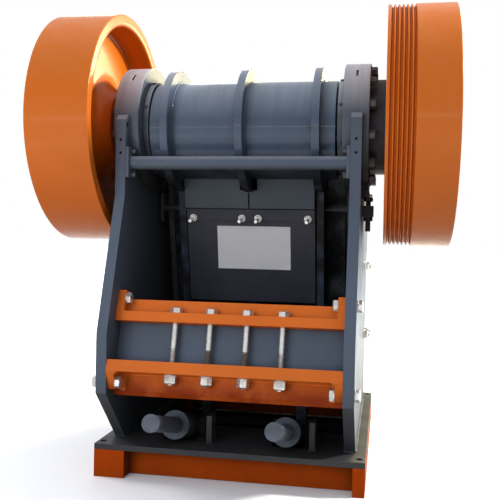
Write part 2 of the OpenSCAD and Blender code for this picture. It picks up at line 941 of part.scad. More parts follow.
module clamp_bar_lower() {
    wall_low_z = lower_low_z - lower_wall_h;
    color(paint_orange)
        difference() {
            union() {
                toggle_prism(-plate_in, plate_in, [
                    [-lower_reach, lower_low_z],
                    [beam_grip, lower_low_z],
                    [beam_grip, lower_top_z],
                    [-lower_reach, lower_top_z]
                ]);
                toggle_prism(-plate_in, plate_in, [
                    [0, lower_mid_z],
                    [0, wall_low_z],
                    [lower_lip_run, wall_low_z - lower_lip],
                    [lower_wall_t, wall_low_z - lower_lip],
                    [lower_wall_t, lower_mid_z]
                ]);
                for (side = [-1, 1])
                    on_side(side)
                        toggle_prism(plate_in - end_t, plate_in, [
                            [-lower_end_reach, wall_low_z],
                            [lower_wall_t / 2, wall_low_z],
                            [lower_wall_t / 2, lower_mid_z],
                            [-lower_reach, lower_mid_z],
                            [-lower_reach, lower_low_z]
                        ]);
            }
            stud_holes(lower_low_z - over, lower_top_z + over);
            end_bolt_hole(end_bolt_places[1], plate_in);
        }
}

// Long studs with a hexagon head on the upper bar and a nut under the lower bar
module clamp_studs() {
    low = lower_low_z - stud_nut_h - stud_tail;
    color(steel)
        for (side = [-1, 1], i = [0, 1])
            toggle_frame()
                translate([side * (stud_x + i * stud_step), -stud_reach, 0]) {
                    translate([0, 0, low])
                        cylinder(r = stud_r, h = upper_top_z - low);
                    translate([0, 0, upper_top_z])
                        cylinder(r = stud_head_r, h = stud_head_h, $fn = 6);
                    translate([0, 0, lower_low_z - stud_nut_h])
                        cylinder(r = stud_head_r, h = stud_nut_h, $fn = 6);
                }
}

// Bolts through the clamp bars' end plates and the side plates
module end_bolts() {
    grip = end_t + plate_t;
    color(steel)
        for (side = [-1, 1], place = end_bolt_places)
            on_side(side)
                toggle_frame()
                    translate([plate_in - end_t, place[0], place[1]])
                        rotate([0, 90, 0]) {
                            translate([0, 0, -end_bolt_head_h])
                                cylinder(r = end_bolt_head_r, h = end_bolt_head_h, $fn = 6);
                            cylinder(r = end_bolt_r, h = grip);
                            translate([0, 0, grip])
                                cylinder(r = end_bolt_head_r, h = end_bolt_head_h, $fn = 6);
                        }
}

module tension_rod(side) {
    color(steel)
        rod_frame(side) {
            y_cylinder(rod_r, -rod_tail, rod_nose);
            y_cylinder(rod_r + rod_cap_lip, -rod_tail - rod_cap_t, -rod_tail);
        }
}

module tension_rod_left() { tension_rod(-1); }
module tension_rod_right() { tension_rod(1); }

module spring_housing(side) {
    color(paint_grey)
        rod_frame(side)
            difference() {
                union() {
                    y_cylinder(spring_r - spring_cap_lip, spring_cap_t, spring_len);
                    y_cylinder(spring_r, 0, spring_cap_t);
                }
                y_cylinder(rod_r + seat_gap, -over, spring_len + over);
            }
}

module spring_housing_left() { spring_housing(-1); }
module spring_housing_right() { spring_housing(1); }

// Cheeks on the rear flange that hold a spring housing between them, and the plate beside it
module rod_bracket(side) {
    half = spring_r - spring_cap_lip + seat_gap;
    post = side * rod_x + (side < 0 ? bracket_left_gap : bracket_right_gap);
    color(paint_grey) {
        for (hand = [-1, 1])
            translate([side * rod_x, 0, 0])
                on_side(hand)
                    span_box([half, -cheek_y, floor_z],
                             [half + slot_gap + bracket_t, -cheek_y + bracket_d, floor_z + cheek_h]);
        span_box([post, -bracket_y, floor_z],
                 [post + bracket_t, -bracket_y + bracket_d, floor_z + bracket_h]);
    }
}

module rod_bracket_left() { rod_bracket(-1); }
module rod_bracket_right() { rod_bracket(1); }

// Shaft with journals in the housings, seats in the wheels and the eccentric between
module eccentric_shaft() {
    color(steel) {
        x_cylinder(seat_r, -shaft_left, shaft_right);
        x_cylinder(journal_r, -housing_out - cover_t(-1), housing_out + cover_t(1));
        x_cylinder(eccentric_r, -barrel_len / 2, barrel_len / 2, 0, -throw);
    }
}

// Half section of a flywheel: radius across, distance from the inner face up
function wheel_section(grooves) = concat(
    [
        [seat_r + seat_gap, hub_in],
        [hub_r, hub_in],
        [hub_root_r, web_in],
        [wheel_r - rim_t - rim_taper, web_in],
        [wheel_r - rim_t, 0],
        [wheel_r, 0]
    ],
    [for (i = [0 : 1 : grooves - 1], p = [
        [0, -groove_top_share],
        [-groove_depth, -groove_bottom_share],
        [-groove_depth, groove_bottom_share],
        [0, groove_top_share]
    ]) [wheel_r + p[0], groove_first + i * groove_pitch + p[1] * groove_pitch / 2]],
    [
        [wheel_r, wheel_w],
        [wheel_r - rim_t, wheel_w],
        [wheel_r - rim_t - rim_taper, web_in + web_t],
        [hub_root_r, web_in + web_t],
        [hub_r, hub_out],
        [seat_r + seat_gap, hub_out]
    ]
);

module flywheel(side, x, grooves) {
    color(paint_orange)
        on_side(side)
            translate([x, shaft_y, shaft_z])
                rotate([0, 90, 0])
                    rotate_extrude($fn = 180)
                        polygon(wheel_section(grooves));
}

module flywheel_left() { flywheel(-1, wheel_left_x, 0); }
module flywheel_right() { flywheel(1, wheel_right_x, groove_count); }

module wheel_cap(side, x) {
    color(dark_grey)
        on_side(side)
            x_cylinder(cap_r, x + hub_out, x + hub_out + cap_t);
}

module wheel_cap_left() { wheel_cap(-1, wheel_left_x); }
module wheel_cap_right() { wheel_cap(1, wheel_right_x); }

skid_rail_left();
skid_rail_right();
skid_cross_rear();
skid_cross_front();
base_flange_left();
base_flange_right();
base_flange_rear();
base_flange_front();
side_plate_left();
side_plate_right();
feed_wall();
feed_wall_ribs();
feed_wall_posts();
fixed_jaw_plate();
moving_jaw_plate();
cheek_plate_left();
cheek_plate_right();
bearing_housing_left();
bearing_housing_right();
bearing_cover_left();
bearing_cover_right();
shaft_seal_left();
shaft_seal_right();
hold_down_left();
hold_down_right();
tie_pipe();
pitman();
pitman_cross_bar();
pitman_back_plate();
guard_plate();
toggle_plate();
toggle_beam();
clamp_bar_upper();
clamp_bar_lower();
clamp_studs();
end_bolts();
tension_rod_left();
tension_rod_right();
spring_housing_left();
spring_housing_right();
rod_bracket_left();
rod_bracket_right();
eccentric_shaft();
flywheel_left();
flywheel_right();
wheel_cap_left();
wheel_cap_right();
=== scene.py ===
import json
import math
import bmesh
import bpy
from mathutils import Matrix, Vector


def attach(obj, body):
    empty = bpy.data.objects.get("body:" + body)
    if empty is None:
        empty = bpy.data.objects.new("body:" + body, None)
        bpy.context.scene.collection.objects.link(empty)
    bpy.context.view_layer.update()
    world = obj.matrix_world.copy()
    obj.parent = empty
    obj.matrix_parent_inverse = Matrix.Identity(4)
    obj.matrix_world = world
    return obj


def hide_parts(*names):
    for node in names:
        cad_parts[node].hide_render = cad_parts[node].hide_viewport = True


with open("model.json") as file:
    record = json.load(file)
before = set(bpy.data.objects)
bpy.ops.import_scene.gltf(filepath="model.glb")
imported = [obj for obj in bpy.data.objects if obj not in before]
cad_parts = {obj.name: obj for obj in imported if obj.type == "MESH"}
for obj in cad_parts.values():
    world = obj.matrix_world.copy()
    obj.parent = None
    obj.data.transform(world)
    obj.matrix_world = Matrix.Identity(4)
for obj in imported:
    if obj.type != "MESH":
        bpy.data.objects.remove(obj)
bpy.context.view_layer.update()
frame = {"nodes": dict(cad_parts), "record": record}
record = frame["record"]
bodyOf = {node: body for body, nodes in record["behaviour"]["bodies"].items() for node in nodes}
slotOf = {part["node"]: part["material_slot"] for part in record["subparts"]}
print("loaded", len(frame["nodes"]), "solids")

# the places that everything is measured from, in metres
shaft = Vector((0, -0.34, 1.903))
throwDrop = 0.015
barrel = shaft - Vector((0, 0, throwDrop))
toggleOffset = Vector((0, -0.462, -1.189))
toggleLean = math.radians(15)
jawLean = math.radians(14)
wallLean = math.radians(8)
toggleFrame = Matrix.Translation(shaft + toggleOffset) @ Matrix.Rotation(-toggleLean, 4, "X")
# in the jaw's frame Y is ahead of its plane and Z is up along it
jawFrame = Matrix.Translation(shaft) @ Matrix.Rotation(jawLean, 4, "X")


# small shader helpers
def addNode(tree, kind, **values):
    node = tree.nodes.new(kind)
    for key, value in values.items():
        setattr(node, key, value)
    return node


def noiseField(tree, vector, scale, detail=3.0, rough=0.55):
    field = addNode(tree, "ShaderNodeTexNoise")
    field.inputs["Scale"].default_value = scale
    field.inputs["Detail"].default_value = detail
    field.inputs["Roughness"].default_value = rough
    tree.links.new(vector, field.inputs["Vector"])
    return field.outputs["Fac"]


def spread(tree, value, low, high, toLow=0.0, toHigh=1.0):
    node = addNode(tree, "ShaderNodeMapRange", clamp=True)
    tree.links.new(value, node.inputs["Value"])
    for key, number in (("From Min", low), ("From Max", high), ("To Min", toLow), ("To Max", toHigh)):
        node.inputs[key].default_value = number
    return node.outputs["Result"]


# mask from a field of scale, detail, roughness and the range of the noise that counts
def noiseMask(tree, vector, field, toLow=0.0, toHigh=1.0):
    *grain, low, high = field
    return spread(tree, noiseField(tree, vector, *grain), low, high, toLow, toHigh)


# joins values, sockets or numbers, one after the other
def sums(tree, operation, *values):
    result = values[0]
    for value in values[1:]:
        node = addNode(tree, "ShaderNodeMath", operation=operation, use_clamp=operation != "ADD")
        for socket, entry in zip(node.inputs, (result, value)):
            if isinstance(entry, (int, float)):
                socket.default_value = entry
            else:
                tree.links.new(entry, socket)
        result = node.outputs[0]
    return result


def blendColour(tree, factor, first, second):
    node = addNode(tree, "ShaderNodeMix", data_type="RGBA")
    tree.links.new(factor, node.inputs[0])
    for socket, value in ((node.inputs[6], first), (node.inputs[7], second)):
        if isinstance(value, tuple):
            socket.default_value = (*value, 1)
        else:
            tree.links.new(value, socket)
    return node.outputs[2]


def stretched(tree, vector, scale):
    node = addNode(tree, "ShaderNodeMapping")
    node.inputs["Scale"].default_value = scale
    tree.links.new(vector, node.inputs["Vector"])
    return node.outputs["Vector"]


def axesOf(tree, vector):
    node = addNode(tree, "ShaderNodeSeparateXYZ")
    tree.links.new(vector, node.inputs[0])
    return node.outputs


def bumpFrom(tree, height, strength, distance, normal=None):
    node = addNode(tree, "ShaderNodeBump")
    node.inputs["Strength"].default_value = strength
    node.inputs["Distance"].default_value = distance
    tree.links.new(height, node.inputs["Height"])
    if normal is not None:
        tree.links.new(normal, node.inputs["Normal"])
    return node.outputs["Normal"]


maskSamples = 4


# edge mask: where a slightly rounded normal leaves the true one
def edgeMask(tree, radius, low, high):
    soft = addNode(tree, "ShaderNodeBevel", samples=maskSamples)
    soft.inputs["Radius"].default_value = radius
    geometry = addNode(tree, "ShaderNodeNewGeometry")
    dot = addNode(tree, "ShaderNodeVectorMath", operation="DOT_PRODUCT")
    tree.links.new(soft.outputs["Normal"], dot.inputs[0])
    tree.links.new(geometry.outputs["Normal"], dot.inputs[1])
    return spread(tree, dot.outputs["Value"], high, low)


def cornerMask(tree, distance, low, high):
    hollow = addNode(tree, "ShaderNodeAmbientOcclusion", samples=maskSamples)
    hollow.inputs["Distance"].default_value = distance
    return spread(tree, hollow.outputs["AO"], high, low)


def upMask(tree, low, high):
    geometry = addNode(tree, "ShaderNodeNewGeometry")
    return spread(tree, axesOf(tree, geometry.outputs["Normal"])["Z"], low, high)


# rays that find the background plain white
def seenRays(tree):
    rays = addNode(tree, "ShaderNodeLightPath")
    return sums(tree, "MAXIMUM", rays.outputs["Is Camera Ray"], rays.outputs["Is Transmission Ray"],
                rays.outputs["Is Glossy Ray"])


def newMaterial(name):
    material = bpy.data.materials.new(name)
    material.use_nodes = True
    tree = material.node_tree
    place = addNode(tree, "ShaderNodeTexCoord").outputs["Object"]
    return material, tree, tree.nodes["Principled BSDF"], place


# sprayed paint with haze, dust on top, dirt with painted shade in corners and deep inside, darker towards the
# bottom, a painted sheen mixed with dust in drips on what faces up, and chipped edges
paint = dict(patches=(1.7, 4, 0.55, 0.36, 0.66),
             streaks=(2.4, 5, 0.62, 0.52, 0.78), streakStretch=(9, 9, 0.7),
             dust=(7, 6, 0.55, 0.3, 0.7), dustUp=(0.25, 0.95),
             runs=(1.0, 5, 0.6, 0.25, 0.75), runStretch=(26, 1.2, 1.2), runLow=0.55,
             dustAndSheenFrom=0.10, dustAndSheenTo=0.90,
             grime=(12, 5, 0.55, 0.25, 0.7), grimeAndShadeCorner=(0.07, 0.25, 0.8), enclosedShadeRange=(0.18, 0.5),
             darkerBelow=(6, 6, 0.6, 0.15, 0.55), darkerBelowRange=(0.62, 0.18),
             chips=(38, 6, 0.7), chipEdge=(0.005, 0.72, 0.97), chipStep=0.05, chipBump=(-0.3, 0.0008),
             specks=(90, 3, 0.55, 0.73, 0.78), speckShare=0.6, rough=(5, 5, 0.55, 0.25, 0.75), dirtRough=0.35,
             coatRough=0.10, peel=(330, 2), peelBump=(0.10, 0.0006), waves=(9, 2), waveBump=(0.12, 0.004),
             coatWaves=(11, 3), coatBump=(0.10, 0.003))


def sprayedPaint(name, look):
    material, tree, shader, place = newMaterial(name)
    colour = blendColour(tree, noiseMask(tree, place, paint["patches"]), look["colour"], look["second"])
    drawn = stretched(tree, place, paint["streakStretch"])
    streaks = noiseMask(tree, drawn, paint["streaks"], 0, look["streaks"])
    colour = blendColour(tree, streaks, colour, look["haze"])
    dust = sums(tree, "MULTIPLY", upMask(tree, *paint["dustUp"]), noiseMask(tree, place, paint["dust"]),
                look["dust"])
    colour = blendColour(tree, dust, colour, look["dustColour"])
    # painted sheen mixed with dust: faces that look up get a lighter colour in streaks
    if "dustAndSheen" in look:
        runs = noiseMask(tree, stretched(tree, place, paint["runStretch"]), paint["runs"], paint["runLow"])
        upward = upMask(tree, look.get("dustAndSheenFrom", paint["dustAndSheenFrom"]), paint["dustAndSheenTo"])
        dustAndSheen = sums(tree, "MULTIPLY", upward, runs, look["dustAndSheen"])
        colour = blendColour(tree, dustAndSheen, colour, look["dustAndSheenColour"])
    # dirt and painted shade: an occlusion mask darkens corners and hollows
    grime = sums(tree, "MULTIPLY", cornerMask(tree, *paint["grimeAndShadeCorner"]),
                 noiseMask(tree, place, paint["grime"], look.get("evenGrimeAndShade", 0.0)), look["grime"])
    # painted shade: a wide occlusion mask darkens what lies deep inside the machine
    if "enclosedShade" in look:
        grime = sums(tree, "MAXIMUM", grime, cornerMask(tree, look["enclosedShade"], *paint["enclosedShadeRange"]))
    colour = blendColour(tree, grime, colour, look["grimeAndShadeColour"])
    # darker towards the bottom, by height; on the pitman, the housings and the lower clamp bar this is painted
    # shade
    top, bottom = look.get("darkerBelowRange", paint["darkerBelowRange"])
    darkerBelow = sums(tree, "MULTIPLY", spread(tree, axesOf(tree, place)["Z"], top, bottom, 0, look["darkerBelow"]),
                  noiseMask(tree, place, paint["darkerBelow"]))
    colour = blendColour(tree, darkerBelow, colour, look["grimeAndShadeColour"])
    chipField = (*paint["chips"], look["chips"], look["chips"] + paint["chipStep"])
    chips = sums(tree, "MULTIPLY", edgeMask(tree, *paint["chipEdge"]), noiseMask(tree, place, chipField))
    colour = blendColour(tree, chips, colour, look["bare"])
    specks = noiseMask(tree, place, paint["specks"], 0, paint["speckShare"])
    colour = blendColour(tree, specks, colour, look["grimeAndShadeColour"])
    tree.links.new(colour, shader.inputs["Base Color"])
    dirt = sums(tree, "MULTIPLY", sums(tree, "ADD", dust, grime), paint["dirtRough"])
    rough = sums(tree, "ADD", noiseMask(tree, place, paint["rough"], *look["rough"]), dirt)
    tree.links.new(rough, shader.inputs["Roughness"])
    clean = sums(tree, "SUBTRACT", 1.0, sums(tree, "MAXIMUM", darkerBelow, grime))
    tree.links.new(sums(tree, "MULTIPLY", clean, look["coat"]), shader.inputs["Coat Weight"])
    shader.inputs["Coat Roughness"].default_value = look.get("coatRough", paint["coatRough"])
    shader.inputs["Specular IOR Level"].default_value = look["gloss"]
    peel = bumpFrom(tree, noiseField(tree, place, *paint["peel"]), *paint["peelBump"])
    waves = bumpFrom(tree, noiseField(tree, place, *paint["waves"]), *paint["waveBump"], peel)
    tree.links.new(bumpFrom(tree, chips, *paint["chipBump"], waves), shader.inputs["Normal"])
    coatWaves = bumpFrom(tree, noiseField(tree, place, *paint["coatWaves"]), *paint["coatBump"])
    tree.links.new(coatWaves, shader.inputs["Coat Normal"])
    return material


# bare or zinc-plated metal with stains and a little rust in the corners
metal = dict(tone=(5, 0.55, 0.3, 0.7), rust=(55, 5, 0.65, 0.45, 0.62), rustCorner=(0.02, 0.35, 0.85),
             stains=(23, 6, 0.7, 0.60, 0.72), rustMetal=0.1, rough=(40, 4, 0.55, 0.3, 0.7), rustRough=0.4,
             fineDetail=4, fineDepth=0.001, rustBump=(0.25, 0.0008))


def bareMetal(name, look):
    material, tree, shader, place = newMaterial(name)
    tone = noiseMask(tree, place, (look["grain"], *metal["tone"]))
    colour = blendColour(tree, tone, look["colour"], look["second"])
    rust = sums(tree, "MULTIPLY", cornerMask(tree, *metal["rustCorner"]),
                noiseMask(tree, place, metal["rust"]), look["rust"])
    rust = sums(tree, "MAXIMUM", rust, noiseMask(tree, place, metal["stains"], 0, look["stain"]))
    colour = blendColour(tree, rust, colour, look["rustColour"])
    tree.links.new(colour, shader.inputs["Base Color"])
    tree.links.new(spread(tree, rust, 0, 1, look["metal"], metal["rustMetal"]), shader.inputs["Metallic"])
    rough = sums(tree, "ADD", noiseMask(tree, place, metal["rough"], *look["rough"]),
                 sums(tree, "MULTIPLY", rust, metal["rustRough"]))
    tree.links.new(rough, shader.inputs["Roughness"])
    grain = noiseField(tree, place, look["bumpScale"], metal["fineDetail"])
    fine = bumpFrom(tree, grain, look["bump"], metal["fineDepth"])
    tree.links.new(bumpFrom(tree, rust, *metal["rustBump"], fine), shader.inputs["Normal"])
    return material


# plain white sheet, a little uneven
white = dict(colours=((0.96, 0.96, 0.99), (0.92, 0.92, 0.95)), tone=(9, 5, 0.55, 0.35, 0.7),
             roughField=(30, 3, 0.55, 0.3, 0.7), rough=(0.45, 0.62), grain=(400, 3), bump=(0.06, 0.0004))


def whiteSheet(name):
    material, tree, shader, place = newMaterial(name)
    tint = blendColour(tree, noiseMask(tree, place, white["tone"]), *white["colours"])
    tree.links.new(tint, shader.inputs["Base Color"])
    tree.links.new(noiseMask(tree, place, white["roughField"], *white["rough"]), shader.inputs["Roughness"])
    grain = bumpFrom(tree, noiseField(tree, place, *white["grain"]), *white["bump"])
    tree.links.new(grain, shader.inputs["Normal"])
    return material


orange = dict(colour=(0.64, 0.145, 0.020), second=(0.58, 0.128, 0.016), haze=(0.60, 0.19, 0.050),
              streaks=0.20, dust=0.20, dustColour=(0.56, 0.29, 0.15), grime=0.55,
              grimeAndShadeColour=(0.10, 0.026, 0.004), darkerBelow=0.0, chips=0.62, bare=(0.16, 0.10, 0.075),
              rough=(0.40, 0.54), coat=0.04, gloss=0.10)
grey = dict(colour=(0.082, 0.106, 0.148), second=(0.068, 0.090, 0.128), haze=(0.115, 0.137, 0.170),
            streaks=0.20, dust=0.26, dustColour=(0.22, 0.235, 0.26), grime=0.65,
            grimeAndShadeColour=(0.014, 0.014, 0.015), darkerBelow=0.80, chips=0.60, bare=(0.20, 0.17, 0.15),
            rough=(0.36, 0.50), coat=0.05, gloss=0.12)
# grey paint with a painted sheen and dust on its upper faces
dustAndSheenGrey = dict(grey, dustAndSheen=0.50, dustAndSheenColour=(0.34, 0.35, 0.38), dustAndSheenFrom=0.32)
paintLooks = {
    "orangePaint": orange,
    # painted shade: a darker orange that grows darker down the web to the lip of the lower clamp bar
    "lowerBarPaint": dict(
        orange, colour=(0.59, 0.138, 0.020), second=(0.53, 0.120, 0.016), grime=0.45,
        grimeAndShadeColour=(0.20, 0.022, 0.002), darkerBelow=0.95, darkerBelowRange=(0.568, 0.482)),
    # a darker orange laid by the corner mask paints shade in the wheels' hollows
    "wheelPaint": dict(
        orange, colour=(0.60, 0.138, 0.009), second=(0.55, 0.124, 0.007), haze=(0.60, 0.19, 0.045),
        streaks=0.16, dust=0.22, dustColour=(0.60, 0.33, 0.19), grimeAndShadeColour=(0.34, 0.052, 0.008),
        evenGrimeAndShade=0.75, chips=0.66, rough=(0.36, 0.48), coat=0.34, coatRough=0.17, gloss=0.04),
    # painted shade: a wide occlusion mask darkens the skid inside the base
    "skidPaint": dict(
        orange, colour=(0.52, 0.064, 0.001), second=(0.45, 0.052, 0.001), haze=(0.46, 0.08, 0.004),
        streaks=0.16, dust=0.14, dustColour=(0.34, 0.17, 0.07), grime=0.6, grimeAndShadeColour=(0.085, 0.022, 0.004),
        darkerBelow=0.30, enclosedShade=0.7, chips=0.60, bare=(0.14, 0.085, 0.06), rough=(0.42, 0.58), coat=0.0,
        gloss=0.05),
    "greyPaint": dustAndSheenGrey,
    # painted shade: a wide occlusion mask darkens the side plates' faces deep inside the frame
    "plateGrey": dict(dustAndSheenGrey, grimeAndShadeColour=(0.031, 0.034, 0.040), enclosedShade=1.3),
    # painted sheen of the sky on the upper faces of the barrel, painted shade darkening its lower parts
    "pitmanGrey": dict(
        grey, colour=(0.070, 0.098, 0.150), second=(0.056, 0.080, 0.126), grimeAndShadeColour=(0.012, 0.012, 0.013),
        darkerBelow=1.0, darkerBelowRange=(1.76, 1.58), rough=(0.34, 0.46), coat=0.28, gloss=0.08, dustAndSheen=0.75,
        dustAndSheenColour=(0.34, 0.39, 0.46)),
    # dust and a painted sheen on the tops of the housings and seals, painted shade darkening their lower parts
    "housingGrey": dict(
        grey, colour=(0.090, 0.106, 0.138), second=(0.074, 0.090, 0.120), haze=(0.14, 0.145, 0.16),
        streaks=0.30, darkerBelow=0.90, darkerBelowRange=(1.74, 1.58), coat=0.10, dustAndSheen=0.95,
        dustAndSheenColour=(0.60, 0.59, 0.63)),
    "backGrey": dict(
        grey, colour=(0.054, 0.069, 0.087), second=(0.045, 0.057, 0.074), haze=(0.080, 0.086, 0.092),
        streaks=0.25, dustColour=(0.14, 0.145, 0.15), darkerBelow=0.0, rough=(0.38, 0.54)),
    # a darker, dirtier grey that also paints the shade on the base flanges and rod brackets, with painted
    # shade deep inside
    "dirtAndShadeGrey": dict(
        grey, colour=(0.044, 0.047, 0.054), second=(0.031, 0.033, 0.038), haze=(0.064, 0.064, 0.064),
        streaks=0.25, dust=0.30, dustColour=(0.09, 0.088, 0.085), grime=0.7,
        grimeAndShadeColour=(0.010, 0.009, 0.008), darkerBelow=0.4, enclosedShade=0.45, chips=0.58, bare=(0.15, 0.11, 0.08),
        rough=(0.42, 0.60), coat=0.0, gloss=0.25),
    "darkPaint": dict(
        grey, colour=(0.036, 0.038, 0.050), second=(0.026, 0.028, 0.037), haze=(0.055, 0.057, 0.064),
        streaks=0.28, dust=0.30, dustColour=(0.12, 0.118, 0.115), grime=0.5,
        grimeAndShadeColour=(0.009, 0.008, 0.007), darkerBelow=0.5, bare=(0.17, 0.13, 0.10), rough=(0.40, 0.56),
        coat=0.03, gloss=0.18),
}
metalLooks = {
    "zincSteel": dict(
        colour=(0.66, 0.66, 0.65), second=(0.50, 0.50, 0.48), grain=34, rust=0.7, stain=0.13,
        rustColour=(0.16, 0.10, 0.06), metal=0.75, rough=(0.22, 0.36), bumpScale=260, bump=0.12),
    "threadSteel": dict(
        colour=(0.26, 0.23, 0.20), second=(0.15, 0.125, 0.10), grain=60, rust=0.9, stain=0.5,
        rustColour=(0.09, 0.045, 0.025), metal=0.5, rough=(0.38, 0.6), bumpScale=300, bump=0.2),
    "blackBolt": dict(
        colour=(0.060, 0.060, 0.064), second=(0.042, 0.042, 0.045), grain=40, rust=0.2, stain=0.08,
        rustColour=(0.05, 0.032, 0.024), metal=0.25, rough=(0.36, 0.52), bumpScale=280, bump=0.15),
    # a dark cast colour, kept dark partly as painted shade inside the crushing chamber
    "manganeseCast": dict(
        colour=(0.070, 0.066, 0.062), second=(0.045, 0.041, 0.038), grain=6, rust=0.7, stain=0.40,
        rustColour=(0.070, 0.040, 0.024), metal=0.30, rough=(0.45, 0.7), bumpScale=120, bump=0.5),
    "darkRod": dict(
        colour=(0.072, 0.092, 0.124), second=(0.046, 0.054, 0.068), grain=14, rust=0.7, stain=0.35,
        rustColour=(0.07, 0.040, 0.024), metal=0.4, rough=(0.34, 0.52), bumpScale=180, bump=0.2),
    "turnedSteel": dict(
        colour=(0.42, 0.41, 0.40), second=(0.30, 0.29, 0.28), grain=18, rust=0.7, stain=0.3,
        rustColour=(0.15, 0.075, 0.04), metal=0.85, rough=(0.3, 0.5), bumpScale=220, bump=0.12),
}
finishes = {name: sprayedPaint(name, look) for name, look in paintLooks.items()}
finishes.update((name, bareMetal(name, look)) for name, look in metalLooks.items())
finishes["bareWhite"] = whiteSheet("bareWhite")

# the finishes of each slot; the first one is what a solid gets if nothing else is said
slotFinishes = {
    "orange_paint": ("orangePaint", "lowerBarPaint", "wheelPaint", "skidPaint"),
    "grey_paint": ("greyPaint", "plateGrey", "pitmanGrey", "housingGrey", "backGrey", "dirtAndShadeGrey"),
    "dark_paint": ("darkPaint", "blackBolt"),
    "bare_steel": ("turnedSteel", "zincSteel", "threadSteel", "darkRod"),
    "manganese_cast": ("manganeseCast",),
}
print("mixed", len(finishes), "finishes")


# mesh helpers
def camelName(node):
    first, *rest = node.split("_")
    return first + "".join(word.capitalize() for word in rest)


sharpAngles = dict(plain=38, bolts=30, mixed=40, wheel=50, soft=60)  # edges above these degrees stay sharp


def keepPiece(name, mesh, finish, body, edges="plain", stands=()):
    build = bpy.data.meshes.new(name)
    mesh.to_mesh(build)
    mesh.free()
    for face in build.polygons:
        face.use_smooth = True
    build.set_sharp_from_angle(angle=math.radians(sharpAngles[edges]))
    build.materials.append(finishes[finish])
    piece = bpy.data.objects.new(name, build)
    bpy.context.scene.collection.objects.link(piece)
    even = piece.modifiers.new("evenNormals", "WEIGHTED_NORMAL")
    even.keep_sharp = True
    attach(piece, body)
    if stands:
        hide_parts(*stands)
    return piece


def rise(height):
    return Matrix.Translation((0, 0, height))


def alongAxis(place, axis):
    turned = Vector((0, 0, 1)).rotation_difference(Vector(axis).normalized()).to_matrix().to_4x4()
    return Matrix.Translation(place) @ turned


# directions out from the shaft's line, and the points of a circle round it
def outFrom(angle):
    return Vector((0, math.sin(angle), math.cos(angle)))


def circlePoints(centre, radius, count):
    return [centre + radius * outFrom(2 * math.pi * step / count) for step in range(count)]


# turned shape about the Z of a frame, from (radius, height) points
def turn(mesh, points, place, sides=48, closed=False, spin=0.0):
    rings = []
    for radius, height in points:
        if radius < 1e-6:
            rings.append([mesh.verts.new(place @ Vector((0, 0, height)))])
            continue
        ring = []
        for step in range(sides):
            angle = spin + 2 * math.pi * step / sides
            point = Vector((radius * math.cos(angle), radius * math.sin(angle), height))
            ring.append(mesh.verts.new(place @ point))
        rings.append(ring)
    pairs = list(zip(rings, rings[1:]))
    if closed:
        pairs.append((rings[-1], rings[0]))
    for low, high in pairs:
        for step in range(sides):
            after = (step + 1) % sides
            if len(low) == 1:
                mesh.faces.new((low[0], high[after], high[step]))
            elif len(high) == 1:
                mesh.faces.new((low[step], low[after], high[0]))
            else:
                mesh.faces.new((low[step], low[after], high[after], high[step]))


# rounds the corners of a closed outline of (radius, height, rounding) points
def rounded(outline, steps, longest=0.45):
    result = []
    corners = [Vector(point[:2]) for point in outline]
    for index, corner in enumerate(corners):
        before = corners[index - 1] - corner
        after = corners[(index + 1) % len(corners)] - corner
        reach = min(outline[index][2], longest * before.length, longest * after.length)
        start = corner + before.normalized() * reach
        end = corner + after.normalized() * reach
        for step in range(steps + 1):
            t = step / steps
            result.append(tuple(start * (1 - t) ** 2 + corner * 2 * t * (1 - t) + end * t ** 2))
    return result


# hexagon with the turned chamfer of a real head, standing on its seat
headChamfer = ((1, 0.80), (0.93, 0.92), (0.80, 1))


def hexHead(mesh, place, flats, height, spin=0.0):
    corner = flats / math.sqrt(3)
    chamfer = [(corner * share, height * level) for share, level in headChamfer]
    turn(mesh, [(0, 0), (corner, 0), *chamfer, (0, height)], place, 6, spin=spin)


washerEdge = (0.15, 0.2)  # chamfers below and above, as shares of the thickness


def washer(mesh, place, radius, thick):
    below, above = (share * thick for share in washerEdge)
    turn(mesh, [(0, 0), (radius - below, 0), (radius, above), (radius, thick - above),
                (radius - above, thick), (0, thick)], place, 36)


def roundBar(mesh, place, radius, length, chamfer=0.002, sides=32):
    turn(mesh, [(0, 0), (radius - chamfer, 0), (radius, chamfer), (radius, length - chamfer),
                (radius - chamfer, length), (0, length)], place, sides)


# head or nut on its washer, with the end of the bolt standing out if it has a shank
def bolt(mesh, at, look, spin):
    washer(mesh, at, look["washer"], look["thick"])
    hexHead(mesh, at @ rise(look["thick"]), look["flats"], look["high"], spin)
    if "shank" in look:
        roundBar(mesh, at, look["shank"], look["thick"] + look["high"] + look["tail"], sides=20)


# helical thread between two heights, round a core
threadCore = dict(under=0.0002, below=0.001)


def threadedBar(mesh, place, radius, depth, pitch, low, high, sides=18):
    turns = int((high - low) / pitch)
    crest, root = [], []
    for step in range(turns * sides + 1):
        angle = 2 * math.pi * step / sides
        height = low + pitch * step / sides
        for line, reach, shift in ((crest, radius, 0), (root, radius - depth, pitch / 2)):
            point = Vector((reach * math.cos(angle), reach * math.sin(angle), height + shift))
            line.append(mesh.verts.new(place @ point))
    for step in range(turns * sides):
        mesh.faces.new((crest[step], crest[step + 1], root[step + 1], root[step]))
        if step + sides + 1 < len(crest):
            mesh.faces.new((root[step], root[step + 1], crest[step + sides + 1], crest[step + sides]))
    core = radius - depth - threadCore["under"]
    foot, end = low - threadCore["below"], high + pitch
    turn(mesh, [(0, foot), (core, foot), (core, end), (0, end)], place, sides)


# weld bead along points, with the ripples of each pass
beadLook = dict(steps=2.5, low=0.86, swell=0.14, waves=((0.08, 23, 0), (0.05, 61, 1)),
                helper=(0.31, 0.52, 0.79))


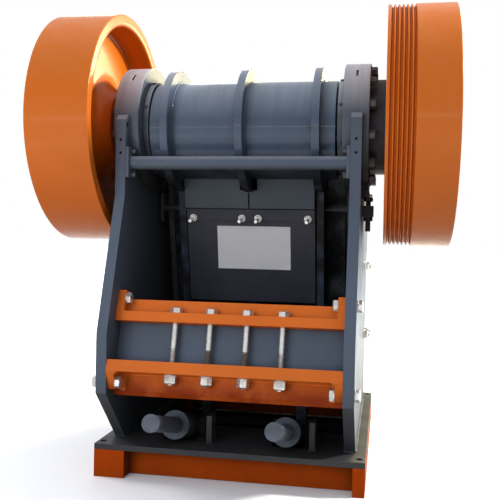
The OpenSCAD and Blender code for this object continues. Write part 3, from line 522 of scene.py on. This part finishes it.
def weldBead(mesh, points, radius, closed=False, ripple=0.009, sides=6):
    line = [Vector(point) for point in points]
    if closed:
        line.append(line[0])
    dense, walked = [], []
    total = 0.0
    for first, second in zip(line, line[1:]):
        steps = max(1, round((second - first).length / (ripple / beadLook["steps"])))
        for step in range(steps):
            dense.append(first.lerp(second, step / steps))
            walked.append(total + (second - first).length * step / steps)
        total += (second - first).length
    if not closed:
        dense.append(line[-1])
        walked.append(total)
    rings = []
    count = len(dense)
    for index, point in enumerate(dense):
        ahead = dense[(index + 1) % count] if closed or index + 1 < count else point
        behind = dense[index - 1] if closed or index else point
        along = (ahead - behind).normalized()
        side = along.cross(Vector(beadLook["helper"])).normalized()
        other = along.cross(side)
        passed = abs(math.sin(math.pi * walked[index] / ripple))
        swell = radius * (beadLook["low"] + beadLook["swell"] * passed)
        swell *= 1 + sum(share * math.sin(rate * walked[index] + shift)
                         for share, rate, shift in beadLook["waves"])
        rings.append([mesh.verts.new(point + swell * (math.cos(a) * side + math.sin(a) * other))
                      for a in (2 * math.pi * k / sides for k in range(sides))])
    pairs = list(zip(rings, rings[1:])) + ([(rings[-1], rings[0])] if closed else [])
    for low, high in pairs:
        for k in range(sides):
            mesh.faces.new((low[k], low[(k + 1) % sides], high[(k + 1) % sides], high[k]))
    if not closed:
        mesh.faces.new(reversed(rings[0]))
        mesh.faces.new(rings[-1])


# hollow fillet in the corner along a line, between two directions
def hollowFillet(mesh, start, end, first, second, radius, steps=6):
    rows = []
    for corner in (start, end):
        row = [mesh.verts.new(corner)]
        for step in range(steps + 1):
            angle = math.pi / 2 * step / steps
            reach = first * (1 - math.sin(angle)) + second * (1 - math.cos(angle))
            row.append(mesh.verts.new(corner + radius * reach))
        rows.append(row)
    low, high = rows
    for k in range(len(low)):
        after = (k + 1) % len(low)
        mesh.faces.new((low[k], low[after], high[after], high[k]))
    mesh.faces.new(reversed(low))
    mesh.faces.new(high)


# a solid with its sharp edges broken, standing for the plain one
edgeLook = dict(merge=2e-5, flat=0.6, hard=32, segments=2)


def dressNode(node, edge, finish):
    mesh = bmesh.new()
    mesh.from_mesh(frame["nodes"][node].data)
    bmesh.ops.remove_doubles(mesh, verts=mesh.verts, dist=edgeLook["merge"])
    bmesh.ops.dissolve_limit(mesh, angle_limit=math.radians(edgeLook["flat"]), verts=mesh.verts,
                             edges=mesh.edges)
    hard = [line for line in mesh.edges
            if len(line.link_faces) == 2 and line.calc_face_angle(0) > math.radians(edgeLook["hard"])]
    bmesh.ops.bevel(mesh, geom=hard, offset=edge, offset_type="OFFSET", segments=edgeLook["segments"],
                    profile=0.5, affect="EDGES", clamp_overlap=True)
    return keepPiece(camelName(node), mesh, finish, bodyOf[node], stands=(node,))


plateEdges = {  # how far each solid's edges are broken, in metres
    "skid_rail_left": 0.004, "skid_rail_right": 0.004, "skid_cross_rear": 0.003, "skid_cross_front": 0.003,
    "base_flange_left": 0.002, "base_flange_right": 0.002,
    "base_flange_rear": 0.003, "base_flange_front": 0.003,
    "side_plate_left": 0.003, "side_plate_right": 0.003, "feed_wall": 0.003, "feed_wall_ribs": 0.003,
    "feed_wall_posts": 0.002, "fixed_jaw_plate": 0.006, "moving_jaw_plate": 0.006, "cheek_plate_left": 0.004,
    "cheek_plate_right": 0.004, "bearing_housing_left": 0.005, "bearing_housing_right": 0.005,
    "bearing_cover_left": 0.004, "bearing_cover_right": 0.004,
    "shaft_seal_left": 0.003, "shaft_seal_right": 0.003,
    "hold_down_left": 0.002, "hold_down_right": 0.002, "tie_pipe": 0.003, "pitman": 0.004,
    "pitman_cross_bar": 0.002, "pitman_back_plate": 0.003, "guard_plate": 0.002, "toggle_plate": 0.003,
    "toggle_beam": 0.002, "clamp_bar_upper": 0.003, "clamp_bar_lower": 0.003, "tension_rod_left": 0.003,
    "tension_rod_right": 0.003, "spring_housing_left": 0.003, "spring_housing_right": 0.003,
    "rod_bracket_left": 0.002, "rod_bracket_right": 0.002, "eccentric_shaft": 0.003,
    "wheel_cap_left": 0.004, "wheel_cap_right": 0.004,
}
otherFinishes = {  # solids with another finish than the first of their slot
    "darkRod": ("tension_rod_left", "tension_rod_right"),
    "manganeseCast": ("toggle_plate",),
    "skidPaint": ("skid_rail_left", "skid_rail_right", "skid_cross_rear", "skid_cross_front"),
    "dirtAndShadeGrey": ("base_flange_left", "base_flange_right", "base_flange_rear", "base_flange_front",
                 "rod_bracket_left", "rod_bracket_right"),
    "pitmanGrey": ("pitman",),
    "darkPaint": ("pitman_cross_bar",),
    "lowerBarPaint": ("clamp_bar_lower",),
    "backGrey": ("pitman_back_plate", "spring_housing_left", "spring_housing_right"),
    "housingGrey": ("bearing_housing_left", "bearing_housing_right", "shaft_seal_left", "shaft_seal_right"),
    "plateGrey": ("side_plate_left", "side_plate_right"),
}
finishOf = {node: slotFinishes[slotOf[node]][0] for node in plateEdges}
finishOf.update((node, finish) for finish, nodes in otherFinishes.items() for node in nodes)
for node, edge in plateEdges.items():
    dressNode(node, edge, finishOf[node])
print("broke the edges of", len(plateEdges), "solids")


# flywheels, turned afresh with round fillets
wheel = dict(radius=0.650, width=0.350, rim=0.066, taper=0.012, webIn=0.148, webOut=0.203,
             hub=0.205, hubRoot=0.280, hubIn=0.047, hubOut=0.300, bore=0.1102, boreRound=0.002,
             hubRound=0.012, rootRound=0.06, webRound=0.055, lipRound=0.022, rimRound=0.006, groovePitch=0.022,
             grooveFirst=0.0245, grooveDepth=0.017, topShare=0.80, floorShare=0.22, crestRound=0.0012,
             floorRound=0.002, roundSteps=5, sides=220,
             places={"flywheel_left": (-1, 0.713, 0), "flywheel_right": (1, 0.770, 6)})


def turnWheel(node, side, face, grooves):
    radius, width = wheel["radius"], wheel["width"]
    inner = radius - wheel["rim"]
    outline = [(wheel["bore"], wheel["hubIn"], wheel["boreRound"]),
               (wheel["hub"], wheel["hubIn"], wheel["hubRound"]),
               (wheel["hubRoot"], wheel["webIn"], wheel["rootRound"]),
               (inner - wheel["taper"], wheel["webIn"], wheel["webRound"]),
               (inner, 0, wheel["lipRound"]), (radius, 0, wheel["rimRound"])]
    top, floor = (wheel[key] * wheel["groovePitch"] / 2 for key in ("topShare", "floorShare"))
    low = radius - wheel["grooveDepth"]
    for groove in range(grooves):
        middle = wheel["grooveFirst"] + groove * wheel["groovePitch"]
        outline += [(radius, middle - top, wheel["crestRound"]), (low, middle - floor, wheel["floorRound"]),
                    (low, middle + floor, wheel["floorRound"]), (radius, middle + top, wheel["crestRound"])]
    outline += [(radius, width, wheel["rimRound"]), (inner, width, wheel["lipRound"]),
                (inner - wheel["taper"], wheel["webOut"], wheel["webRound"]),
                (wheel["hubRoot"], wheel["webOut"], wheel["rootRound"]),
                (wheel["hub"], wheel["hubOut"], wheel["hubRound"]),
                (wheel["bore"], wheel["hubOut"], wheel["boreRound"])]
    mesh = bmesh.new()
    place = Matrix.Translation(shaft + Vector((side * face, 0, 0)))
    place = place @ Matrix.Rotation(side * math.pi / 2, 4, "Y")
    turn(mesh, rounded(outline, wheel["roundSteps"]), place, wheel["sides"], closed=True)
    bmesh.ops.recalc_face_normals(mesh, faces=mesh.faces)
    return keepPiece(camelName(node), mesh, "wheelPaint", "rotor", "wheel", (node,))


for node, (side, face, grooves) in wheel["places"].items():
    turnWheel(node, side, face, grooves)
print("turned the flywheels")


# toggle clamp: long studs, end bolts, fillet welds
studs = dict(places=(-0.282, -0.096, 0.096, 0.282), reach=-0.042, seatTop=0.155, seatLow=-0.163,
             head=0.056, headHigh=0.030, headLift=0.0005, headSpin=(0.3, 0.9),
             flats=0.056, high=0.039, nutSpin=(0.5, 0.7), washer=0.034, thick=0.005,
             bar=0.0148, barSunk=0.004, barChamfer=0.0015, radius=0.015, depth=0.0024, pitch=0.0042,
             threadTop=-0.030, threadEnd=-0.219, tuck=0.005, clean=(0, 3))
shanks, threads, cleanThreads = bmesh.new(), bmesh.new(), bmesh.new()
for count, x in enumerate(studs["places"]):
    at = toggleFrame @ Matrix.Translation((x, studs["reach"], 0))
    first, each = studs["headSpin"]
    hexHead(shanks, at @ rise(studs["seatTop"] + studs["headLift"]), studs["head"], studs["headHigh"],
            first + each * count)
    first, each = studs["nutSpin"]
    bolt(shanks, at @ rise(studs["seatLow"]) @ Matrix.Rotation(math.pi, 4, "X"), studs, first + each * count)
    roundBar(shanks, at @ rise(studs["threadTop"]), studs["bar"],
             studs["seatTop"] - studs["threadTop"] + studs["barSunk"], studs["barChamfer"])
    threadedBar(cleanThreads if count in studs["clean"] else threads, at, studs["radius"], studs["depth"],
                studs["pitch"], studs["threadEnd"] + studs["tuck"], studs["threadTop"] - studs["tuck"])
keepPiece("clampStuds", shanks, "zincSteel", "frame", "bolts", ("clamp_studs",))
keepPiece("clampStudThreads", threads, "threadSteel", "frame", "soft")
keepPiece("clampStudCleanThreads", cleanThreads, "zincSteel", "frame", "soft")

endBolts = dict(places=((-0.042, 0.228), (-0.078, -0.2158)), face=0.558, plateOut=0.654,
                flats=0.055, high=0.023, washer=0.030, thick=0.005, spin=(0.4, 0.8),
                bar=0.0165, barSunk=0.09, barLong=0.119, barSides=24)
mesh = bmesh.new()
first, each = endBolts["spin"]
for side in (-1, 1):
    for count, (y, z) in enumerate(endBolts["places"]):
        for x, way in ((endBolts["face"], -1), (endBolts["plateOut"], 1)):
            turned = Matrix.Rotation(side * way * math.pi / 2, 4, "Y")
            at = toggleFrame @ Matrix.Translation((side * x, y, z)) @ turned
            bolt(mesh, at, endBolts, first + each * count + side)
            if way > 0:
                roundBar(mesh, at @ rise(-endBolts["barSunk"]), endBolts["bar"], endBolts["barLong"],
                         sides=endBolts["barSides"])
keepPiece("endBolts", mesh, "zincSteel", "frame", "bolts", ("end_bolts",))

# each bar's corner in Y and Z, and how far its end fillets go in Z and in Y
clampFillets = dict(half=0.558, upper=(-0.011, 0.155, 0.228, -0.076), lower=(0.0, -0.163, -0.251, -0.134),
                    small=0.010, large=0.026)
mesh = bmesh.new()
across, ahead, up = toggleFrame.to_3x3().transposed()
half = clampFillets["half"]
for bar, way, size in (("upper", up, "small"), ("lower", -up, "large")):
    y, z, end, reach = clampFillets[bar]
    radius = clampFillets[size]
    hollowFillet(mesh, toggleFrame @ Vector((-half, y, z)), toggleFrame @ Vector((half, y, z)), -ahead, way,
                 clampFillets["small"])
    for side in (-1, 1):
        corner, far, back = (toggleFrame @ Vector((side * half, *spot))
                             for spot in ((y, z), (y, end), (reach, z)))
        hollowFillet(mesh, corner, far, -ahead, -side * across, radius)
        hollowFillet(mesh, back, corner, way, -side * across, radius)
bmesh.ops.recalc_face_normals(mesh, faces=mesh.faces)
keepPiece("clampFillets", mesh, "orangePaint", "frame", "soft")
print("fitted the toggle clamp's studs, bolts and fillets")


# guard: bolts with long ends on a strip, and the bare white plate
guard = dict(face=-0.047, boltAcross=(-0.340, -0.048, 0.048, 0.340), boltHeight=-0.513,
             flats=0.032, high=0.018, washer=0.022, thick=0.004, firstSpin=0.2,
             radius=0.0105, depth=0.0014, pitch=0.0025, threadFrom=0.018, threadTo=0.085, threadSides=14,
             strip=(0.378, -0.462, -0.530), stripThick=0.006, stripGap=0.0002, stripEdge=0.0012)


def jawPoint(x, ahead, z):
    return jawFrame @ Vector((x, ahead, (z - ahead * math.sin(jawLean)) / math.cos(jawLean)))


mesh = bmesh.new()
outward = -(jawFrame.to_3x3() @ Vector((0, 1, 0)))
for count, x in enumerate(guard["boltAcross"]):
    at = alongAxis(jawPoint(x, guard["face"] - guard["stripThick"], guard["boltHeight"]), outward)
    bolt(mesh, at, guard, guard["firstSpin"] + count)
    threadedBar(mesh, at, guard["radius"], guard["depth"], guard["pitch"], guard["threadFrom"],
                guard["threadTo"], guard["threadSides"])
keepPiece("guardBolts", mesh, "zincSteel", "pitman", "mixed")

half, top, bottom = guard["strip"]
mesh = bmesh.new()
corners = [mesh.verts.new(jawPoint(x, guard["face"] - out, z))
           for out in (guard["stripGap"], guard["stripThick"])
           for x, z in ((-half, top), (half, top), (half, bottom), (-half, bottom))]
for loop in ((0, 1, 2, 3), (7, 6, 5, 4), (0, 4, 5, 1), (1, 5, 6, 2), (2, 6, 7, 3), (3, 7, 4, 0)):
    mesh.faces.new([corners[k] for k in loop])
bmesh.ops.recalc_face_normals(mesh, faces=mesh.faces)
bmesh.ops.bevel(mesh, geom=mesh.edges[:], offset=guard["stripEdge"], segments=edgeLook["segments"],
                profile=0.5, affect="EDGES")
keepPiece("guardStrip", mesh, "darkPaint", "pitman", "mixed")

plate = dict(sides=(-0.199, 0.237), heights=(-0.559, -0.813), gap=0.0022, thick=0.0008, wave=0.0016,
             waveRates=(5.1, 1.3), curl=0.004, curlPower=6, columns=36, rows=20)
left, right = plate["sides"]
top, bottom = plate["heights"]
mesh = bmesh.new()
grid = []
for row in range(plate["rows"] + 1):
    line = []
    v = row / plate["rows"]
    for column in range(plate["columns"] + 1):
        u = column / plate["columns"]
        wave = math.sin(plate["waveRates"][0] * u + plate["waveRates"][1] * v) ** 2
        curl = abs(2 * u - 1) ** plate["curlPower"] * v
        lift = plate["gap"] + plate["wave"] * wave + plate["curl"] * curl
        spot = jawPoint(left + (right - left) * u, guard["face"] - lift, top + (bottom - top) * v)
        line.append(mesh.verts.new(spot))
    grid.append(line)
for upper, lower in zip(grid, grid[1:]):
    for column in range(plate["columns"]):
        mesh.faces.new((upper[column], lower[column], lower[column + 1], upper[column + 1]))
bmesh.ops.solidify(mesh, geom=mesh.faces[:], thickness=plate["thick"])
bmesh.ops.recalc_face_normals(mesh, faces=mesh.faces)
keepPiece("whitePlate", mesh, "bareWhite", "pitman", "soft")
print("hung the guard's bolts and white plate")


# bolts round the bearing covers and on the wheel caps
coverBolts = dict(rings={-1: 0.268, 1: 0.303}, count=12, face=0.688, flats=0.046, high=0.030, washer=0.029,
                  thick=0.004, spin=0.7)
mesh = bmesh.new()
for side, ring in coverBolts["rings"].items():
    for step in range(coverBolts["count"]):
        out = outFrom(2 * math.pi * (step + 0.5) / coverBolts["count"])
        spot = shaft + Vector((side * coverBolts["face"], 0, 0)) + ring * out
        bolt(mesh, alongAxis(spot, (side, 0, 0)), coverBolts, coverBolts["spin"] * step)
keepPiece("coverBolts", mesh, "blackBolt", "frame", "bolts")

capBolts = dict(ring=0.118, count=6, faces={-1: 1.037, 1: 1.094}, flats=0.036, high=0.020, washer=0.023,
                thick=0.004, spin=0.5)
mesh = bmesh.new()
for side, face in capBolts["faces"].items():
    centre = shaft + Vector((side * face, 0, 0))
    for step, spot in enumerate(circlePoints(centre, capBolts["ring"], capBolts["count"])):
        bolt(mesh, alongAxis(spot, (side, 0, 0)), capBolts, capBolts["spin"] * step)
keepPiece("capBolts", mesh, "zincSteel", "rotor", "bolts")
print("bolted the covers and caps")


# small screws round the seals, plugs in the barrel, bolts of the tie pipe's flanges
sealScrews = dict(x=0.534, ring=0.2655, first=-26, count=8, flats=0.017, high=0.009, spin=0.3)
mesh = bmesh.new()
for side in (-1, 1):
    for step in range(sealScrews["count"]):
        out = outFrom(math.radians(sealScrews["first"] + 360 * step / sealScrews["count"]))
        spot = shaft + Vector((side * sealScrews["x"], 0, 0)) + sealScrews["ring"] * out
        hexHead(mesh, alongAxis(spot, out), sealScrews["flats"], sealScrews["high"],
                sealScrews["spin"] * step)
keepPiece("sealScrews", mesh, "greyPaint", "frame", "bolts")

barrelPlugs = dict(places=(-0.446, -0.036, 0.374), ring=0.2715, angle=-93, radius=0.010, high=0.006)
mesh = bmesh.new()
out = outFrom(math.radians(barrelPlugs["angle"]))
for x in barrelPlugs["places"]:
    spot = barrel + Vector((x, 0, 0)) + barrelPlugs["ring"] * out
    washer(mesh, alongAxis(spot, out), barrelPlugs["radius"], barrelPlugs["high"])
keepPiece("barrelPlugs", mesh, "blackBolt", "pitman", "mixed")

tieBolts = dict(face=0.580, places=((-0.345, -0.170), (-0.345, -0.292)), flats=0.030, high=0.019,
                washer=0.021, thick=0.003, spin=0.4)
mesh = bmesh.new()
for side in (-1, 1):
    for count, (y, z) in enumerate(tieBolts["places"]):
        at = alongAxis(shaft + Vector((side * tieBolts["face"], y, z)), (-side, 0, 0))
        bolt(mesh, at, tieBolts, tieBolts["spin"] * count)
keepPiece("tieBolts", mesh, "blackBolt", "frame", "bolts")
print("added the screws, plugs and bolts of the seals, the barrel and the tie pipe")


# nuts of the cheek plates on the outside, nuts of the fixed jaw and welds on the feed wall
cheekBolts = dict(face=0.654, places=((0.55, -0.35), (0.95, -0.35), (0.62, -0.80), (0.92, -0.80),
                                      (0.72, -1.25), (0.90, -1.25)),
                  flats=0.046, high=0.026, washer=0.031, thick=0.005, shank=0.015, tail=0.012, spin=0.6)
mesh = bmesh.new()
for side in (-1, 1):
    for count, (y, z) in enumerate(cheekBolts["places"]):
        at = alongAxis(shaft + Vector((side * cheekBolts["face"], y, z)), (side, 0, 0))
        bolt(mesh, at, cheekBolts, cheekBolts["spin"] * count)
keepPiece("cheekBolts", mesh, "zincSteel", "frame", "bolts")

feedWall = dict(lowY=0.8685, lowZ=-1.6, outer=0.153, ribThick=0.040, half=0.598, bottom=-1.728, top=0.080,
                ribShares=(0.08, 0.36, 0.64, 0.92), posts=(-0.3708, 0.0, 0.3708))


def wallPoint(x, z):
    y = feedWall["lowY"] + (z - feedWall["lowZ"]) * math.tan(wallLean)
    return shaft + Vector((x, y + feedWall["outer"] / math.cos(wallLean), z))


jawBolts = dict(across=(-0.49, -0.19, 0.19, 0.49), heights=(-1.33, -0.824, -0.318), flats=0.055, high=0.029,
                washer=0.045, thick=0.010, shank=0.018, tail=0.022, spin=3)
mesh = bmesh.new()
outward = Vector((0, math.cos(wallLean), -math.sin(wallLean)))
for count, z in enumerate(jawBolts["heights"]):
    for x in jawBolts["across"]:
        bolt(mesh, alongAxis(wallPoint(x, z), outward), jawBolts, jawBolts["spin"] * x + count)
keepPiece("jawBolts", mesh, "zincSteel", "frame", "bolts")

wallWelds = dict(bead=0.008, ripple=0.012, clear=0.028)
ribHeights = [feedWall["bottom"] + share * (feedWall["top"] - feedWall["bottom"])
              for share in feedWall["ribShares"]]
mesh = bmesh.new()
for z in ribHeights:
    for edge in (-1, 1):
        height = z + edge * feedWall["ribThick"] / 2
        weldBead(mesh, [wallPoint(side * feedWall["half"], height) for side in (-1, 1)], wallWelds["bead"],
                 ripple=wallWelds["ripple"])
for x in feedWall["posts"]:
    for edge in (-1, 1):
        for low, high in zip(ribHeights, ribHeights[1:]):
            ends = (low + wallWelds["clear"], high - wallWelds["clear"])
            weldBead(mesh, [wallPoint(x + edge * feedWall["ribThick"] / 2, z) for z in ends],
                     wallWelds["bead"], ripple=wallWelds["ripple"])
keepPiece("wallWelds", mesh, "greyPaint", "frame", "soft")
print("added the nuts of the cheeks and the jaw, and the feed wall's welds")


# welds on the pitman's ring ribs and on the frame
pitmanWelds = dict(rings=(-0.410, 0.0, 0.410), half=0.022, radius=0.273, bead=0.006, steps=150)
mesh = bmesh.new()
for x in pitmanWelds["rings"]:
    for side in (-1, 1):
        centre = barrel + Vector((x + side * pitmanWelds["half"], 0, 0))
        weldBead(mesh, circlePoints(centre, pitmanWelds["radius"], pitmanWelds["steps"]),
                 pitmanWelds["bead"], True)
keepPiece("pitmanWelds", mesh, "pitmanGrey", "pitman", "soft")

frameWelds = dict(plates=(0.597, 0.655), plateEnds=(-0.325, 0.95), foot=(0.596, 0.656), footEnd=-0.335,
                  height=0.176, bead=0.007, brackets={-1: (-0.134, -0.104), 1: (0.416, 0.446)},
                  bracketEnds=(-0.366, -0.256), pipe=(0.5795, -0.345, -0.231), pipeRing=0.037, pipeSteps=40,
                  smallBead=0.005)
mesh = bmesh.new()
for side in (-1, 1):
    height = frameWelds["height"]
    for x in frameWelds["plates"]:
        weldBead(mesh, [(side * x, shaft.y + y, height) for y in frameWelds["plateEnds"]], frameWelds["bead"])
    weldBead(mesh, [(side * x, shaft.y + frameWelds["footEnd"], height) for x in frameWelds["foot"]],
             frameWelds["bead"])
    for x in frameWelds["brackets"][side]:
        weldBead(mesh, [(x, shaft.y + y, height) for y in frameWelds["bracketEnds"]], frameWelds["smallBead"])
    x, y, z = frameWelds["pipe"]
    pipe = circlePoints(shaft + Vector((side * x, y, z)), frameWelds["pipeRing"], frameWelds["pipeSteps"])
    weldBead(mesh, pipe, frameWelds["smallBead"], True)
keepPiece("frameWelds", mesh, "greyPaint", "frame", "soft")
print("laid the weld beads")


# stage, light and camera
floorLook = dict(size=120.0, colour=0.90, rough=0.9, bounce=(0.36, 0.28, 0.19), shade=(0.09, 0.070, 0.048),
                 shadeRange=(0.1, 1.5), fade=(2.6, 7.0), under=0.02, half=(0.56, 0.74), blur=0.02)
bpy.ops.mesh.primitive_plane_add(size=floorLook["size"], location=(0, 0, 0))
floor = bpy.context.object
floor.name = "studioFloor"
material, tree, shader, place = newMaterial("studioWhite")
shader.inputs["Roughness"].default_value = floorLook["rough"]
shader.inputs["Specular IOR Level"].default_value = 0.0
seen = seenRays(tree)
axes = axesOf(tree, place)
shaded = spread(tree, axes["X"], *floorLook["shadeRange"])
bounce = blendColour(tree, shaded, floorLook["bounce"], floorLook["shade"])
tint = blendColour(tree, seen, bounce, (floorLook["colour"],) * 3)
blur = floorLook["blur"]
# painted shadow: the floor is nearly black for every ray inside the machine's footprint
inside = [spread(tree, sums(tree, "ABSOLUTE", axes[axis], 0.0), half + blur, half - blur)
          for axis, half in zip("XY", floorLook["half"])]
under = sums(tree, "MULTIPLY", *inside)
tree.links.new(blendColour(tree, under, tint, (floorLook["under"],) * 3), shader.inputs["Base Color"])
reach = addNode(tree, "ShaderNodeVectorMath", operation="LENGTH")
tree.links.new(place, reach.inputs[0])
fade = sums(tree, "MULTIPLY", spread(tree, reach.outputs["Value"], *floorLook["fade"]), seen)
shader.inputs["Emission Color"].default_value = (1, 1, 1, 1)
tree.links.new(fade, shader.inputs["Emission Strength"])
floor.data.materials.append(material)

# the sky's colours from the ground up, each with the heights between which it takes over
skyLook = dict(ground=(0.10, 0.085, 0.07), layers=(((1.5, 1.48, 1.42), -0.012, 0.004),
                                                   ((0.54, 0.57, 0.62), 0.05, 0.10),
                                                   ((0.46, 0.54, 0.68), 0.10, 0.45),
                                                   ((0.86, 0.88, 0.90), 0.45, 0.85)))
world = bpy.data.worlds.new("studioSky")
bpy.context.scene.world = world
world.use_nodes = True
tree = world.node_tree
height = axesOf(tree, addNode(tree, "ShaderNodeTexCoord").outputs["Generated"])["Z"]
dome = skyLook["ground"]
for colour, low, high in skyLook["layers"]:
    dome = blendColour(tree, spread(tree, height, low, high), dome, colour)
background = blendColour(tree, seenRays(tree), dome, (1.0, 1.0, 1.0))
tree.links.new(background, tree.nodes["Background"].inputs["Color"])

lamps = {
    "keyLamp": dict(place=(8.6, 1.0, 6.1), aim=(-0.5, -0.3, 1.8), size=1.2, power=1650,
                    colour=(1.0, 0.96, 0.88)),
    "rearLamp": dict(place=(-2.6, -6.8, 2.0), aim=(0, -0.4, 1.2), size=4.0, power=182,
                     colour=(0.97, 0.98, 1.0), mirrored=False),
    "glintLamp": dict(place=(2.9, 5.5, 3.4), aim=(-0.5, -0.3, 2.2), size=2.6, power=460,
                      colour=(1.0, 0.87, 0.50)),
    "lineLamp": dict(place=(-1.5, -9.3, 2.25), aim=(-1.5, 0, 2.25), size=8.0, high=0.18, power=36),
    "sideLamp": dict(place=(-6.0, 0.5, 4.0), aim=(0, 0, 1.2), size=2.5, power=220),
    "feedLamp": dict(place=(-2.5, 5.6, 5.0), aim=(0, 0, 1.4), size=3.0, power=80),
}
for name, look in lamps.items():
    lamp = bpy.data.lights.new(name, "AREA")
    lamp.shape = "RECTANGLE" if "high" in look else "DISK"
    lamp.size = look["size"]
    lamp.size_y = look.get("high", look["size"])
    lamp.energy = look["power"]
    lamp.color = look.get("colour", (1, 1, 1))
    holder = bpy.data.objects.new(name, lamp)
    bpy.context.scene.collection.objects.link(holder)
    holder.location = look["place"]
    holder.rotation_euler = (Vector(look["aim"]) - Vector(look["place"])).to_track_quat("-Z", "Y").to_euler()
    holder.visible_glossy = look.get("mirrored", True)

view = dict(place=Vector((0.78184, -4.14522, -0.60828)), yaw=10.45, pitch=-1.2, roll=1.11, pixels=732.06,
            frame=500, sensor=36.0)
yaw, pitch, roll = (math.radians(view[key]) for key in ("yaw", "pitch", "roll"))
forward = Vector((-math.sin(yaw) * math.cos(pitch), math.cos(yaw) * math.cos(pitch), math.sin(pitch)))
right = Vector((math.cos(yaw), math.sin(yaw), 0))
above = right.cross(forward)
cameraX = math.cos(roll) * right + math.sin(roll) * above
cameraY = -math.sin(roll) * right + math.cos(roll) * above
camera = bpy.data.cameras.new("photoCamera")
camera.sensor_fit = "HORIZONTAL"
camera.sensor_width = view["sensor"]
camera.lens = view["sensor"] * view["pixels"] / view["frame"]
holder = bpy.data.objects.new("photoCamera", camera)
bpy.context.scene.collection.objects.link(holder)
turned = Matrix((cameraX, cameraY, -forward)).transposed().to_4x4()
holder.matrix_world = Matrix.Translation(shaft + view["place"]) @ turned
bpy.context.scene.camera = holder
bpy.context.scene.view_settings.view_transform = "Standard"
print("set the stage, lamps and camera")
